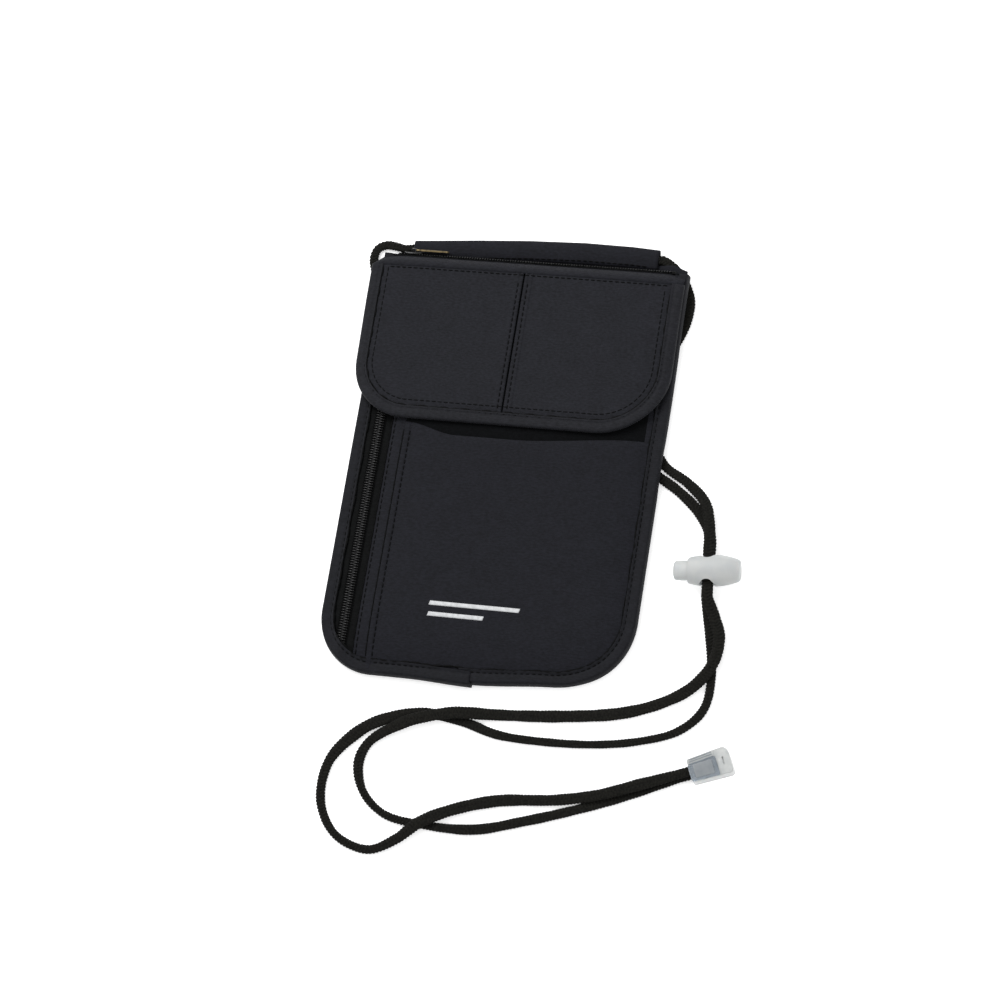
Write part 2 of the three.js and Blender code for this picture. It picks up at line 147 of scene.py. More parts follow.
def make_stage():
    mesh = bpy.data.meshes.new("floor")
    corners = [(-1, -1), (1, -1), (1, 1), (-1, 1)]
    points = [(FLOOR_HALF * x, FLOOR_HALF * y, FLOOR_LEVEL) for x, y in corners]
    mesh.from_pydata(points, [], [(0, 1, 2, 3)])
    floor = bpy.data.objects.new("floor", mesh)
    bpy.context.collection.objects.link(floor)
    shader = Shader("floor_white", (0.95, 0.95, 0.95), 0.9)
    shader.set("Emission Color", (1, 1, 1, 1))
    shader.set("Emission Strength", 0.45)
    mesh.materials.append(shader.material)
    world = bpy.data.worlds.new("studio")
    world.use_nodes = True
    sky = world.node_tree.nodes["Background"].inputs
    sky["Color"].default_value = (1, 1, 1, 1)
    sky["Strength"].default_value = 0.74
    bpy.context.scene.world = world
    bpy.context.scene.view_settings.view_transform = "Standard"
    for name, spot, size, power in (
        ("key", (-0.7, 0.9, 1.4), 0.9, 24.0),
        ("fill", (1.1, -0.5, 1.3), 1.2, 5.0),
    ):
        light = bpy.data.lights.new(name, "AREA")
        light.size = size
        light.energy = power
        lamp = bpy.data.objects.new(name, light)
        bpy.context.collection.objects.link(lamp)
        aim = (-Vector(spot)).to_track_quat("-Z", "Y")
        lamp.matrix_world = Matrix.Translation(spot) @ aim.to_matrix().to_4x4()


# ---- materials ----


class Shader:
    """A small wrapper that builds a material's node tree."""

    def __init__(self, name, color, roughness, metallic=0.0):
        self.material = bpy.data.materials.new(name)
        self.material.use_nodes = True
        self.tree = self.material.node_tree
        self.surface = self.tree.nodes["Principled BSDF"]
        self.set("Base Color", (*color, 1))
        self.set("Roughness", roughness)
        self.set("Metallic", metallic)

    def set(self, socket, value):
        self.surface.inputs[socket].default_value = value

    def node(self, kind, values=(), links=()):
        """A new node with these input values, fed by these outputs of other nodes."""
        node = self.tree.nodes.new("ShaderNode" + kind)
        for socket, value in dict(values).items():
            node.inputs[socket].default_value = value
        for socket, source in dict(links).items():
            self.tree.links.new(source, node.inputs[socket])
        return node

    def link(self, source, socket):
        self.tree.links.new(source, self.surface.inputs[socket])

    def math(self, operation, first, second):
        if isinstance(second, float):
            node = self.node("Math", {1: second}, {0: first})
        else:
            node = self.node("Math", links={0: first, 1: second})
        node.operation = operation
        return node.outputs[0]

    def coordinates(self, scale=(1, 1, 1)):
        vector = self.node("TexCoord").outputs["Object"]
        return self.node("Mapping", {"Scale": scale}, {"Vector": vector}).outputs[0]

    def wave(self, vector, scale, direction):
        values = {"Scale": scale, "Distortion": 0.6, "Detail": 1.0}
        node = self.node("TexWave", values, {"Vector": vector})
        node.bands_direction = direction
        return node.outputs["Fac"]

    def noise(self, vector, scale, detail=3.0):
        values = {"Scale": scale, "Detail": detail}
        return self.node("TexNoise", values, {"Vector": vector}).outputs["Fac"]

    def bump(self, height, distance, strength, before=None):
        values = {"Strength": strength, "Distance": distance}
        links = {"Height": height} if before is None else {"Height": height, "Normal": before}
        return self.node("Bump", values, links).outputs["Normal"]

    def tint(self, factor, dark, light):
        ramp = self.node("ValToRGB", links={"Fac": factor})
        ramp.color_ramp.elements[0].color = (*dark, 1)
        ramp.color_ramp.elements[1].color = (*light, 1)
        ramp.color_ramp.elements[0].position = 0.3
        ramp.color_ramp.elements[1].position = 0.7
        self.link(ramp.outputs["Color"], "Base Color")


def woven(name, color, thread, roughness=0.78, sheen=0.02, gloss=0.14):
    """Plain-weave cloth: crossed threads `thread` metres apart, a faint mottle and a soft sheen."""
    shader = Shader(name, color, roughness)
    shader.set("Sheen Weight", sheen)
    shader.set("Sheen Roughness", 0.45)
    shader.set("Specular IOR Level", gloss)
    vector = shader.coordinates()
    rate = 1 / thread / 3.1416 / 2  # one wave spans about two threads
    warp = shader.wave(vector, rate, "X")
    weft = shader.wave(vector, rate, "Y")
    weave = shader.math("MAXIMUM", warp, weft)
    slubs = shader.noise(shader.coordinates((0.6, 1.3, 1)), 1000.0, 2.0)
    mottle = shader.math("ADD", shader.math("MULTIPLY", shader.noise(vector, 140.0), 0.3), slubs)
    fine = shader.bump(weave, 0.00006, 0.5)
    normal = shader.bump(shader.noise(vector, 420.0, 2.0), 0.0002, 0.35, fine)
    shader.link(normal, "Normal")
    factor = shader.math("MULTIPLY", mottle, 0.77)
    shader.tint(factor, [c * 0.6 for c in color], [c * 1.4 for c in color])
    return shader.material


def brass(name):
    """Raw brass edge of an enamelled part: warm, dull and a little blotchy."""
    shader = Shader(name, (0.22, 0.17, 0.09), 0.42, 0.9)
    blotch = shader.noise(shader.coordinates(), 600.0)
    shader.tint(blotch, (0.13, 0.10, 0.055), (0.30, 0.23, 0.12))
    return shader.material


def frosted(name):
    """Frosted polypropylene: milky and translucent, with a fine moulded grain."""
    shader = Shader(name, (0.56, 0.58, 0.58), 0.52)
    shader.set("Specular IOR Level", 0.3)
    shader.set("Subsurface Weight", 0.4)
    shader.set("Subsurface Radius", (0.004, 0.0045, 0.005))
    shader.set("Subsurface Scale", 0.5)
    shader.set("Transmission Weight", 0.3)
    shader.set("IOR", 1.46)
    grain = shader.noise(shader.coordinates(), 1800.0, 2.0)
    shader.link(shader.bump(grain, 0.00004, 0.3), "Normal")
    cloud = shader.noise(shader.coordinates(), 130.0)
    shader.tint(cloud, (0.54, 0.56, 0.565), (0.63, 0.64, 0.63))
    return shader.material


def clear_plastic(name, dark, light, through):
    """Clear polycarbonate with a light haze and faint flow lines."""
    shader = Shader(name, light, 0.16)
    shader.set("Transmission Weight", through)
    shader.set("IOR", 1.5)
    flow = shader.noise(shader.coordinates((1, 1, 3)), 260.0, 2.0)
    shader.link(shader.bump(flow, 0.00008, 0.3), "Normal")
    shader.tint(flow, dark, light)
    return shader.material


def satin(
    name, color, roughness, metallic=0.0, grain=900.0, depth=0.00002, gloss=0.5, contrast=0.15,
):
    """Moulded or drawn surface with a fine grain."""
    shader = Shader(name, color, roughness, metallic)
    shader.set("Specular IOR Level", gloss)
    fine = shader.noise(shader.coordinates(), grain, 2.0)
    shader.link(shader.bump(fine, depth, 0.4), "Normal")
    shader.tint(fine, [c * (1 - contrast) for c in color], [c * (1 + contrast) for c in color])
    return shader.material


# The flap's cloth and binding are lighter copies of the body's: painted light for the brighter light
# on the flap, with painted shade on the body further down.
FABRIC = woven("shell_microfibre", (0.0068, 0.0071, 0.0102), 0.00042)
LIT_FLAP_FABRIC = woven("flap_microfibre_painted_light", (0.0092, 0.0096, 0.0128), 0.00042)
BINDING_CLOTH = woven("binding_rib", (0.0068, 0.0071, 0.0094), 0.0005, roughness=0.74)
LIT_FLAP_BINDING_CLOTH = woven("flap_binding_rib_painted_light", (0.0094, 0.0097, 0.0124), 0.0005, roughness=0.74)
LINING = woven(
    "black_lining", (0.0022, 0.0024, 0.0029), 0.0006, roughness=0.85, sheen=0.0, gloss=0.06,
)
ZIP_TAPE = woven("zip_tape_twill", (0.0036, 0.0038, 0.0040), 0.0006, roughness=0.8, gloss=0.06)
COIL = satin("nylon_coil", (0.0016, 0.0016, 0.0020), 0.3, grain=2400.0, depth=0.0001, gloss=0.4)
THREAD = satin("black_thread", (0.0016, 0.0016, 0.0018), 0.7, grain=1500.0, gloss=0.08)
METAL = satin("black_enamel", (0.010, 0.010, 0.010), 0.3, 0.3)
DARK_METAL = satin("blackened_steel", (0.003, 0.003, 0.003), 0.45, 0.2, gloss=0.2)
BRASS = brass("bare_brass")
FROSTED = frosted("frosted_polypropylene")
CLEAR = clear_plastic("clear_polycarbonate", (0.52, 0.54, 0.54), (0.66, 0.67, 0.66), 0.30)
WINDOW = clear_plastic("clear_cover", (0.42, 0.48, 0.54), (0.56, 0.62, 0.68), 0.72)
PANE = clear_plastic("clear_cover_pane", (0.48, 0.52, 0.55), (0.60, 0.63, 0.65), 0.66)
STEEL = satin("spring_wire", (0.55, 0.56, 0.58), 0.25, 0.95)
BRAID = satin(
    "cord_yarn", (0.0062, 0.0060, 0.0048), 0.8, grain=1300.0, depth=0.00015, gloss=0.12,
    contrast=0.7,
)
PRINT = satin("grey_print", (0.50, 0.51, 0.52), 0.6)
HOOK = satin("hook_tape", (0.006, 0.006, 0.007), 0.7, grain=1100.0, depth=0.0001)

make_stage()

# ---- mesh helpers ----


def make_object(name, vertices, faces, material):
    mesh = bpy.data.meshes.new(name)
    mesh.from_pydata([tuple(v) for v in place(vertices)], [], faces)
    mesh.validate()
    mesh.materials.append(material)
    mesh.polygons.foreach_set("use_smooth", [True] * len(mesh.polygons))
    mesh.update()
    obj = bpy.data.objects.new(name, mesh)
    bpy.context.collection.objects.link(obj)
    return obj


def finish_piece(obj, body, slot, *nodes):
    """Ride a piece on its body and hide the plain solids that it stands for."""
    if nodes:
        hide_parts(*nodes)
    if body:
        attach(obj, body)
    return obj


def grid_faces(rows, columns, first=0, flip=False, wrap=False):
    faces = []
    across = columns if wrap else columns - 1
    for j in range(rows - 1):
        for i in range(across):
            a = first + j * columns + i
            b = first + j * columns + (i + 1) % columns
            c = b + columns
            d = a + columns
            faces.append((a, d, c, b) if flip else (a, b, c, d))
    return faces


def tube_faces(rings, sides, flip=False):
    """Faces of a closed tube of rings, with a flat cap at each end."""
    first, last = tuple(range(sides)), tuple(range((rings - 1) * sides, rings * sides))
    caps = [first, last[::-1]] if flip else [first[::-1], last]
    return grid_faces(rings, sides, flip=flip, wrap=True) + caps


def sheet_faces(rows, columns):
    """Faces of a closed sheet: an upper grid of points, then a lower one, joined round their rim."""
    count = rows * columns
    faces = grid_faces(rows, columns) + grid_faces(rows, columns, count, flip=True)
    rim = list(range(columns)) + [j * columns + columns - 1 for j in range(1, rows)]
    rim += [(rows - 1) * columns + i for i in range(columns - 2, -1, -1)]
    rim += [j * columns for j in range(rows - 2, 0, -1)]
    for here, there in zip(rim, rim[1:] + rim[:1]):
        faces.append((here, here + count, there + count, there))
    return faces


def sheet_solid(name, upper, lower, material, shift=None):
    """A closed sheet between two grids of points. `shift` moves them to where they belong."""
    points = np.vstack([upper.reshape(-1, 3), lower.reshape(-1, 3)])
    faces = sheet_faces(*upper.shape[:2])
    return weld(make_object(name, points if shift is None else shift(points), faces, material))


def thin_solid(name, x, y, top, bottom, material, shift=None):
    """A closed sheet between two height fields on the same grid."""
    upper, lower = (np.stack([x, y, z], -1) for z in (top, bottom))
    return sheet_solid(name, upper, lower, material, shift)


def weld(obj):
    """Merge points that lie on each other, drop what has no area, and turn faces outwards."""
    mesh = bmesh.new()
    mesh.from_mesh(obj.data)
    bmesh.ops.remove_doubles(mesh, verts=mesh.verts, dist=0.01 * MM)
    bmesh.ops.dissolve_degenerate(mesh, edges=mesh.edges, dist=0.005 * MM)
    bmesh.ops.recalc_face_normals(mesh, faces=mesh.faces)
    mesh.to_mesh(obj.data)
    mesh.free()
    obj.data.update()
    return obj


class Shells:
    """Several closed shells gathered into one mesh."""

    def __init__(self):
        self.points = []
        self.faces = []
        self.kinds = []
        self.count = 0

    def add(self, points, faces, kind=0):
        self.points.append(np.asarray(points, float))
        self.faces += [tuple(i + self.count for i in face) for face in faces]
        self.kinds += [kind] * len(faces)
        self.count += len(points)

    def tubes(self, paths, radii, sides=6):
        """Short closed tubes. `paths` is (count, rings, 3), and each ring has its own radius."""
        paths = np.asarray(paths, float)
        count, rings = paths.shape[:2]
        radii = np.broadcast_to(radii, (count, rings))
        along = unit(np.gradient(paths, axis=1))
        side = unit(np.cross(along, np.array([0.03, 0.02, 1.0])))
        lift = np.cross(side, along)
        angle = np.linspace(0, 2 * math.pi, sides, endpoint=False)
        ring = (
            np.cos(angle)[:, None] * side[:, :, None, :]
            + np.sin(angle)[:, None] * lift[:, :, None, :]
        )
        points = paths[:, :, None, :] + radii[:, :, None, None] * ring
        pattern = tube_faces(rings, sides, flip=True)
        for tube in points.reshape(count, -1, 3):
            self.add(tube, pattern)

    def plate(self, outline, low, high, bevel, kind=0, edge_kind=None):
        """A prism over an outline, with its top and bottom edges chamfered."""
        outline = np.asarray(outline, float)
        ahead = unit(np.roll(outline, -1, 0) - outline)
        behind = unit(outline - np.roll(outline, 1, 0))
        inward = unit(np.stack([-(ahead + behind)[:, 1], (ahead + behind)[:, 0]], -1))
        rings = []
        for height, inset in ((low, bevel), (low + bevel, 0), (high - bevel, 0), (high, bevel)):
            flat = outline + inset * inward
            rings.append(np.column_stack([flat, np.full(len(flat), height)]))
        faces = tube_faces(len(rings), len(outline))
        self.add(np.vstack(rings), faces, kind)
        if edge_kind is not None:
            self.kinds[-len(faces) : -2] = [edge_kind] * (len(faces) - 2)

    def make(self, name, materials, frame=None):
        points = np.vstack(self.points)
        if frame is not None:
            points = points @ frame[0].T + frame[1]
        obj = make_object(name, points, self.faces, materials[0])
        for material in materials[1:]:
            obj.data.materials.append(material)
        obj.data.polygons.foreach_set("material_index", self.kinds)
        return obj

    def make_hard(self, name, materials, frame):
        """As `make`, with welded points and crisp edges, for a part that isn't cloth."""
        return sharpen(weld(self.make(name, materials, frame)))


def rounded_box(low, high, radii, steps=6):
    """A rectangle's outline with its own radius at each corner, from its lower right one on."""
    points = []
    corners = [
        (high[0], low[1], -1, 1), (high[0], high[1], -1, -1),
        (low[0], high[1], 1, -1), (low[0], low[1], 1, 1),
    ]
    for index, (x, y, in_x, in_y) in enumerate(corners):
        radius = radii[index]
        first = -math.pi / 2 + index * math.pi / 2
        for angle in np.linspace(first, first + math.pi / 2, steps):
            points.append((
                x + in_x * radius + radius * math.cos(angle),
                y + in_y * radius + radius * math.sin(angle),
            ))
    return np.array(points)


def cut(obj, *cutters):
    """Take solids out of an object, and remove them."""
    for cutter in cutters:
        step = obj.modifiers.new("cut", "BOOLEAN")
        step.operation = "DIFFERENCE"
        step.solver = "EXACT"
        step.object = cutter
    bpy.context.view_layer.update()
    graph = bpy.context.evaluated_depsgraph_get()
    mesh = bpy.data.meshes.new_from_object(obj.evaluated_get(graph))
    obj.modifiers.clear()
    obj.data = mesh
    for cutter in cutters:
        bpy.data.objects.remove(cutter)
    weld(obj)


def sharpen(obj, degrees=38):
    """Split smooth shading where faces meet at more than this angle."""
    mesh = bmesh.new()
    mesh.from_mesh(obj.data)
    for edge in mesh.edges:
        if len(edge.link_faces) == 2:
            edge.smooth = edge.calc_face_angle(0.0) < math.radians(degrees)
    mesh.to_mesh(obj.data)
    mesh.free()
    return obj


def distances(path):
    """How far along a path each of its points is."""
    return np.concatenate([[0], np.cumsum(np.linalg.norm(np.diff(path, axis=0), axis=1))])


def smooth_route(points, spacing):
    """A centripetal Catmull-Rom curve through the points, resampled at an even spacing."""
    points = np.asarray(points, float)
    ends = [2 * points[0] - points[1], 2 * points[-1] - points[-2]]
    control = np.vstack([ends[0], points, ends[1]])
    dense = []
    for i in range(1, len(control) - 2):
        p0, p1, p2, p3 = control[i - 1 : i + 3]
        t0 = 0.0
        t1 = t0 + np.linalg.norm(p1 - p0) ** 0.5
        t2 = t1 + np.linalg.norm(p2 - p1) ** 0.5
        t3 = t2 + np.linalg.norm(p3 - p2) ** 0.5
        t = np.linspace(t1, t2, 25)[:-1, None]
        a1 = (t1 - t) / (t1 - t0) * p0 + (t - t0) / (t1 - t0) * p1
        a2 = (t2 - t) / (t2 - t1) * p1 + (t - t1) / (t2 - t1) * p2
        a3 = (t3 - t) / (t3 - t2) * p2 + (t - t2) / (t3 - t2) * p3
        b1 = (t2 - t) / (t2 - t0) * a1 + (t - t0) / (t2 - t0) * a2
        b2 = (t3 - t) / (t3 - t1) * a2 + (t - t1) / (t3 - t1) * a3
        dense.append((t2 - t) / (t2 - t1) * b1 + (t - t1) / (t2 - t1) * b2)
    dense = np.vstack(dense + [points[-1:]])
    along = distances(dense)
    count = max(8, int(round(along[-1] / spacing)) + 1)
    even = np.linspace(0, along[-1], count)
    return np.stack([np.interp(even, along, dense[:, k]) for k in range(3)], -1), along[-1]


def unit(vectors):
    return vectors / np.maximum(np.linalg.norm(vectors, axis=-1, keepdims=True), 1e-12)


# ---- neck cord ----
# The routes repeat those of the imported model's cord, in the pouch's drawing.

CORD_WIDTH = 4.2 * MM
CORD_THICKNESS = 1.8 * MM

LEFT_ROUTE = [
    (-0.0623, 0.2119, 0.00175), (-0.0672, 0.2112, 0.0016), (-0.0723, 0.2122, 0.0014),
    (-0.0766, 0.2124, 0.0011), (-0.0802, 0.2104, 0.0011), (-0.0815, 0.2064, 0.0011),
    (-0.0804, 0.2010, 0.0011), (-0.0755, 0.1925, 0.0011), (0.0100, 0.1360, 0.0011),
    (0.0750, 0.1065, 0.0011), (0.0880, 0.0980, 0.0015), (0.0965, 0.0900, 0.0026),
    (0.1012, 0.0830, 0.0042), (0.1028, 0.0780, 0.0049), (0.1048, 0.0560, 0.0049),
    (0.1052, 0.0500, 0.0041), (0.1068, 0.0410, 0.002), (0.1120, 0.0130, 0.0011),
    (0.1102, -0.0015, 0.0011), (0.1005, -0.0120, 0.0011), (0.0835, -0.0185, 0.0011),
    (0.0600, -0.0225, 0.0011), (0.0273, -0.0232, 0.0011), (0.0152, -0.0219, 0.0011),
    (0.0028, -0.0184, 0.0011), (-0.0126, -0.0159, 0.0011), (-0.0215, -0.0161, 0.0011),
    (-0.0386, -0.0213, 0.0011), (-0.0490, -0.0285, 0.0011), (-0.0595, -0.0430, 0.0011),
    (-0.0600, -0.0620, 0.0011), (-0.0505, -0.0765, 0.0011), (-0.0340, -0.0818, 0.0011),
    (-0.0215, -0.0760, 0.0024), (-0.0115, -0.0673, 0.0036), (0.0020, -0.0598, 0.0024),
    (0.0220, -0.0530, 0.0011), (0.0500, -0.0496, 0.0016), (0.0680, -0.0458, 0.003),
    (0.0880, -0.0386, 0.0038), (0.1100, -0.0302, 0.0042), (0.1192, -0.0264, 0.0042),
]
RIGHT_ROUTE = [
    (0.0583, 0.2140, 0.00175), (0.0600, 0.2140, 0.00175), (0.0660, 0.2105, 0.0013),
    (0.0720, 0.2035, 0.0011), (0.0758, 0.1940, 0.0011), (0.0745, 0.1800, 0.0011),
    (0.0680, 0.1630, 0.0011), (0.0645, 0.1450, 0.0011), (0.0670, 0.1280, 0.0011),
    (0.0750, 0.1135, 0.0011), (0.0880, 0.1050, 0.0022), (0.0975, 0.0960, 0.0044),
    (0.1016, 0.0860, 0.0064), (0.1028, 0.0780, 0.0071), (0.1048, 0.0560, 0.0071),
    (0.1059, 0.0500, 0.0066), (0.1098, 0.0420, 0.0046), (0.1134, 0.0320, 0.0038),
    (0.1120, 0.0200, 0.0036), (0.1045, 0.0090, 0.0024), (0.0925, 0.0010, 0.0011),
    (0.0740, -0.0062, 0.0011), (0.0450, -0.0108, 0.0011), (0.0130, -0.0133, 0.0015),
    (0.0026, -0.0141, 0.0036), (-0.0056, -0.0149, 0.0036), (-0.0204, -0.0190, 0.0036),
    (-0.0280, -0.0224, 0.0034), (-0.0420, -0.0320, 0.0013), (-0.0453, -0.0420, 0.0011),
    (-0.0410, -0.0550, 0.0011), (-0.0295, -0.0645, 0.0011), (-0.0115, -0.0676, 0.0011),
    (0.0140, -0.0672, 0.0011), (0.0360, -0.0610, 0.0011), (0.0600, -0.0528, 0.0011),
    (0.0860, -0.0420, 0.0011), (0.1040, -0.0336, 0.0016), (0.1100, -0.0314, 0.002),
    (0.1194, -0.0278, 0.002),
]
TUNNEL_ROUTE = [
    (-0.0620, 0.2119, 0.00175), (-0.0220, 0.2126, 0.00175),
    (0.0180, 0.2134, 0.00175), (0.0580, 0.2140, 0.00175),
]

BRAID_PITCH = 1.55 * MM  # one strand of the plait along the cord
BRAID_DEPTH = 0.62 * MM
# A flat plait turns on its edge here and there: its seen width (x, y, width, all in mm) near some
# spots of each strand.
LEFT_WIDTHS = [
    (-64, 212, 3.2), (-72, 212, 4.0), (-81, 207, 4.4), (75, 106, 4.5), (101, 84, 5.2),
    (103, 73, 5.8), (104, 67, 4.4), (105, 59, 4.4), (105, 51, 5.2), (109, 30, 4.0), (110, -2, 4.0),
    (83, -18, 3.5), (40, -23, 3.6), (0, -18, 4.4), (-22, -16, 5.1), (-38, -21, 5.8), (-52, -32, 5.7),
    (-60, -45, 4.7), (-60, -64, 3.9), (-48, -78, 3.7), (-34, -82, 3.8), (-16, -71, 5.4),
    (10, -57, 5.6), (50, -50, 5.0), (88, -39, 5.2), (110, -30, 4.3),
]
RIGHT_WIDTHS = [
    (66, 210, 4.2), (75, 190, 4.8), (75, 113, 4.3), (99, 93, 5.0), (103, 73, 5.2), (104, 67, 4.4),
    (105, 59, 4.4), (105, 51, 5.2), (112, 38, 5.2), (112, 20, 5.5), (95, 3, 5.2), (60, -9, 5.6),
    (20, -13, 5.2), (-5, -15, 5.5), (-26, -21, 5.5), (-40, -30, 4.6), (-45, -42, 4.8),
    (-42, -54, 3.7), (-30, -64, 3.4), (-8, -68, 3.8), (14, -67, 4.8), (50, -56, 4.5),
    (86, -42, 4.7), (110, -31, 4.3),
]


def braided_cord(name, route, phase, widths=None, detail=True):
    """A flat plaited cord: an oval tube whose surface rises and falls with its crossing strands."""
    spacing = 0.36 * MM if detail else 2.0 * MM
    centres, length = smooth_route(route, spacing)
    tangents = unit(np.gradient(centres, axis=0))
    up = np.array([0.0, 0.0, 1.0])
    normals = unit(up - tangents * (tangents @ up)[:, None])
    binormals = np.cross(tangents, normals)
    sides = 26 if detail else 12
    angle = np.linspace(0, 2 * math.pi, sides, endpoint=False)
    across = np.sin(angle)[None, :]
    along = np.linspace(0, length, len(centres))[:, None]
    face = np.sign(np.cos(angle) + 1e-9)[None, :]
    lay = 2 * math.pi * along / BRAID_PITCH + phase + 1.1 * face
    strand = 0.5 + 0.5 * np.cos(lay + 2.6 * np.abs(across) * math.pi * 0.5 * face)
    spine = np.exp(-((across / 0.16) ** 2))
    lift = BRAID_DEPTH * (strand**0.8 - 0.62 - 0.35 * spine * (1 - strand))
    slack = 1 + 0.03 * np.sin(along / (5.3 * MM) + phase) + 0.02 * np.sin(along / (1.9 * MM))
    if widths:
        spots = []
        for x, y, width in widths:
            reach = np.hypot(centres[:, 0] - x * MM, centres[:, 1] - y * MM)
            spots.append((int(np.argmin(reach)), width * MM / CORD_WIDTH))
        spots.sort()
        slack = slack * np.interp(np.arange(len(centres)), *zip(*spots))[:, None]
    wide = CORD_WIDTH / 2 * across * slack
    tall = CORD_THICKNESS / 2 * np.sign(np.cos(angle)) * np.abs(np.cos(angle)) ** 0.75
    radial = np.hypot(wide, tall)
    grow = 1 + lift / radial.clip(0.8 * MM)
    points = (
        centres[:, None, :]
        + (tall[None, :] * grow)[..., None] * normals[:, None, :]
        + (wide * grow)[..., None] * binormals[:, None, :]
    )
    faces = tube_faces(len(centres), sides)
    return make_object(name, points.reshape(-1, 3), faces, BRAID), centres, length


def make_cords():
    """The two strands seen outside, with their paths and lengths, and the stretch in the tunnel."""
    left = braided_cord("neck_cord_left_strand", LEFT_ROUTE, 0.0, LEFT_WIDTHS)
    right = braided_cord("neck_cord_right_strand", RIGHT_ROUTE, 0.7, RIGHT_WIDTHS)
    hidden = braided_cord("neck_cord_tunnel_run", TUNNEL_ROUTE, 0.3, detail=False)
    for cord, node in ((left, "left"), (right, "right"), (hidden, "in_tunnel")):
        finish_piece(cord[0], "pouch", "neck_cord", f"neck_cord_{node}")
    return left, right


STRANDS = make_cords()

# ---- height fields of the lying pouch ----

SLIP_LEFT = -49.2 * MM
SLIP_SEAM = -46.3 * MM
MOUTH_HEIGHT = 121.9  # mm up the body to the ends of the slip pocket's open edge
SLIT_X = -3.2 * MM
SIDE_ZIP_X = -62.6 * MM
SIDE_ZIP_PLANE = 5.95 * MM
TAPE_LEVEL = 5.3 * MM  # height of the side zip's tapes
FRONT_LEFT = -56.3 * MM  # folded edge of the front panel beside the side zip
TAPE_SEAM = -54.6 * MM

UNDER_ROUTES = [LEFT_ROUTE[3:12], RIGHT_ROUTE[2:11]]
CORD_LIFT = 2.0 * MM
EDGE_LOW = 0.7 * MM  # underside of the panels where the binding grips them
EDGE_HEIGHT, TOP_RISE = 4.1, 2.6  # mm: the height at the body's edge, and its rise to the zip
FULL_HEIGHT = 7.9 * MM  # the stuffing's top away from the edges
SKIN = 0.55 * MM  # and the front panel's top face above it
FLAP_LEVEL = 9.75 * MM  # underside of the flap
CLOTH = 0.4 * MM


def smooth_step(value):
    value = np.clip(value, 0, 1)
    return value * value * (3 - 2 * value)


def edge_distance(edge, x, y):
    """How far a point is inside the nearest of an outline's left, bottom and right edges."""
    def corner(radius, from_side):
        from_bottom = edge["bottom"] + radius - y
        out = np.hypot(np.maximum(from_side, 0), np.maximum(from_bottom, 0))
        return radius - out - np.minimum(np.maximum(from_side, from_bottom), 0)
    near = corner(edge["near"], edge["left"] + edge["near"] - x)
    far = corner(edge["far"], x - edge["right"] + edge["far"])
    return np.minimum(near, far)


def near_route(x, y, route, reach):
    """1 on a cord's route and falling to 0 within about `reach` of it."""
    centres, _ = smooth_route(route, 3 * MM)
    nearest = np.full(x.shape, 1.0)
    for centre in centres:
        nearest = np.minimum(nearest, np.hypot(x - centre[0], y - centre[1]))
    return np.exp(-((nearest / reach) ** 2))


def cord_lift(x, y, reach):
    return np.maximum(*[near_route(x, y, route, reach) for route in UNDER_ROUTES])


def ripple(x, y, seed):
    """Slow, irregular rise and fall of slack cloth, from -1 to 1."""
    total = np.zeros_like(x)
    for k in range(5):
        turn = seed * 1.7 + k * 2.4
        length = (22 + 9 * k) * MM
        across = (x * math.cos(turn) + y * math.sin(turn)) / length
        total += np.sin(2 * math.pi * across + seed * 3.1 + k) / 5
    return total


def puff(edge, x, y, start, reach):
    inside = np.maximum(edge_distance(edge, x, y) - start, 0)
    return 1 - np.exp(-inside / reach)


def back_height(x, y):
    """Underside of the back panel."""
    rise = cord_lift(x, y, 5.5 * MM)
    low = EDGE_LOW * (1 - 0.6 * puff(BODY, x, y, 5 * MM, 12 * MM))
    return low + CORD_LIFT * rise


def front_height(x, y):
    """Top face of the front panel."""
    rise = cord_lift(x, y, 14 * MM)
    swell = puff(BODY, x, y, 5 * MM, 11 * MM)
    edge = (EDGE_HEIGHT + TOP_RISE * smooth_step((y - 140 * MM) / (60 * MM))) * MM
    base = edge + (FULL_HEIGHT - edge) * swell
    base = base + 0.5 * MM * rise * (1 - swell) + 0.22 * MM * swell * ripple(x, y, 1.0)
    inside = np.clip((edge_distance(BODY, x, y) - 3 * MM) / (5 * MM), 0, 1)
    hold = inside * np.exp(-(((x - SIDE_ZIP_X) / (7.2 * MM)) ** 4))
    return base * (1 - hold) + TAPE_LEVEL * hold


def slip_mouth(x):
    """Where the slip pocket's open edge runs: it sags between its two ends, most near the left."""
    spot = np.asarray(x) / MM
    drop = 5.4 * smooth_step((spot + 49.5) / 26) * (1 - 0.95 * smooth_step((spot - 2) / 70))
    return (MOUTH_HEIGHT - drop) * MM


def slip_height(x, y):
    """Top face of the slip pocket, which stands a little proud of the front panel."""
    side = np.minimum(edge_distance(BODY, x, y) - 5 * MM, x - SLIP_SEAM)
    proud = 1 - np.exp(-np.maximum(side, 0) / (9 * MM))
    below = slip_mouth(x) - y
    gape = np.exp(-np.maximum(below, 0) / (16 * MM))
    lift = (0.55 + 0.55 * proud + 0.5 * gape * proud) * MM
    lift = lift - 0.5 * MM * smooth_step(1 - below / (1.6 * MM)) * (below < 1.6 * MM)
    fold = np.clip((x - SLIP_LEFT) / (0.9 * MM), 0, 1)
    groove = seam_groove(x, SLIP_SEAM, 0.32 * MM)
    return front_height(x, y) + SKIN + 0.2 * MM + lift * (0.45 + 0.55 * fold) - groove


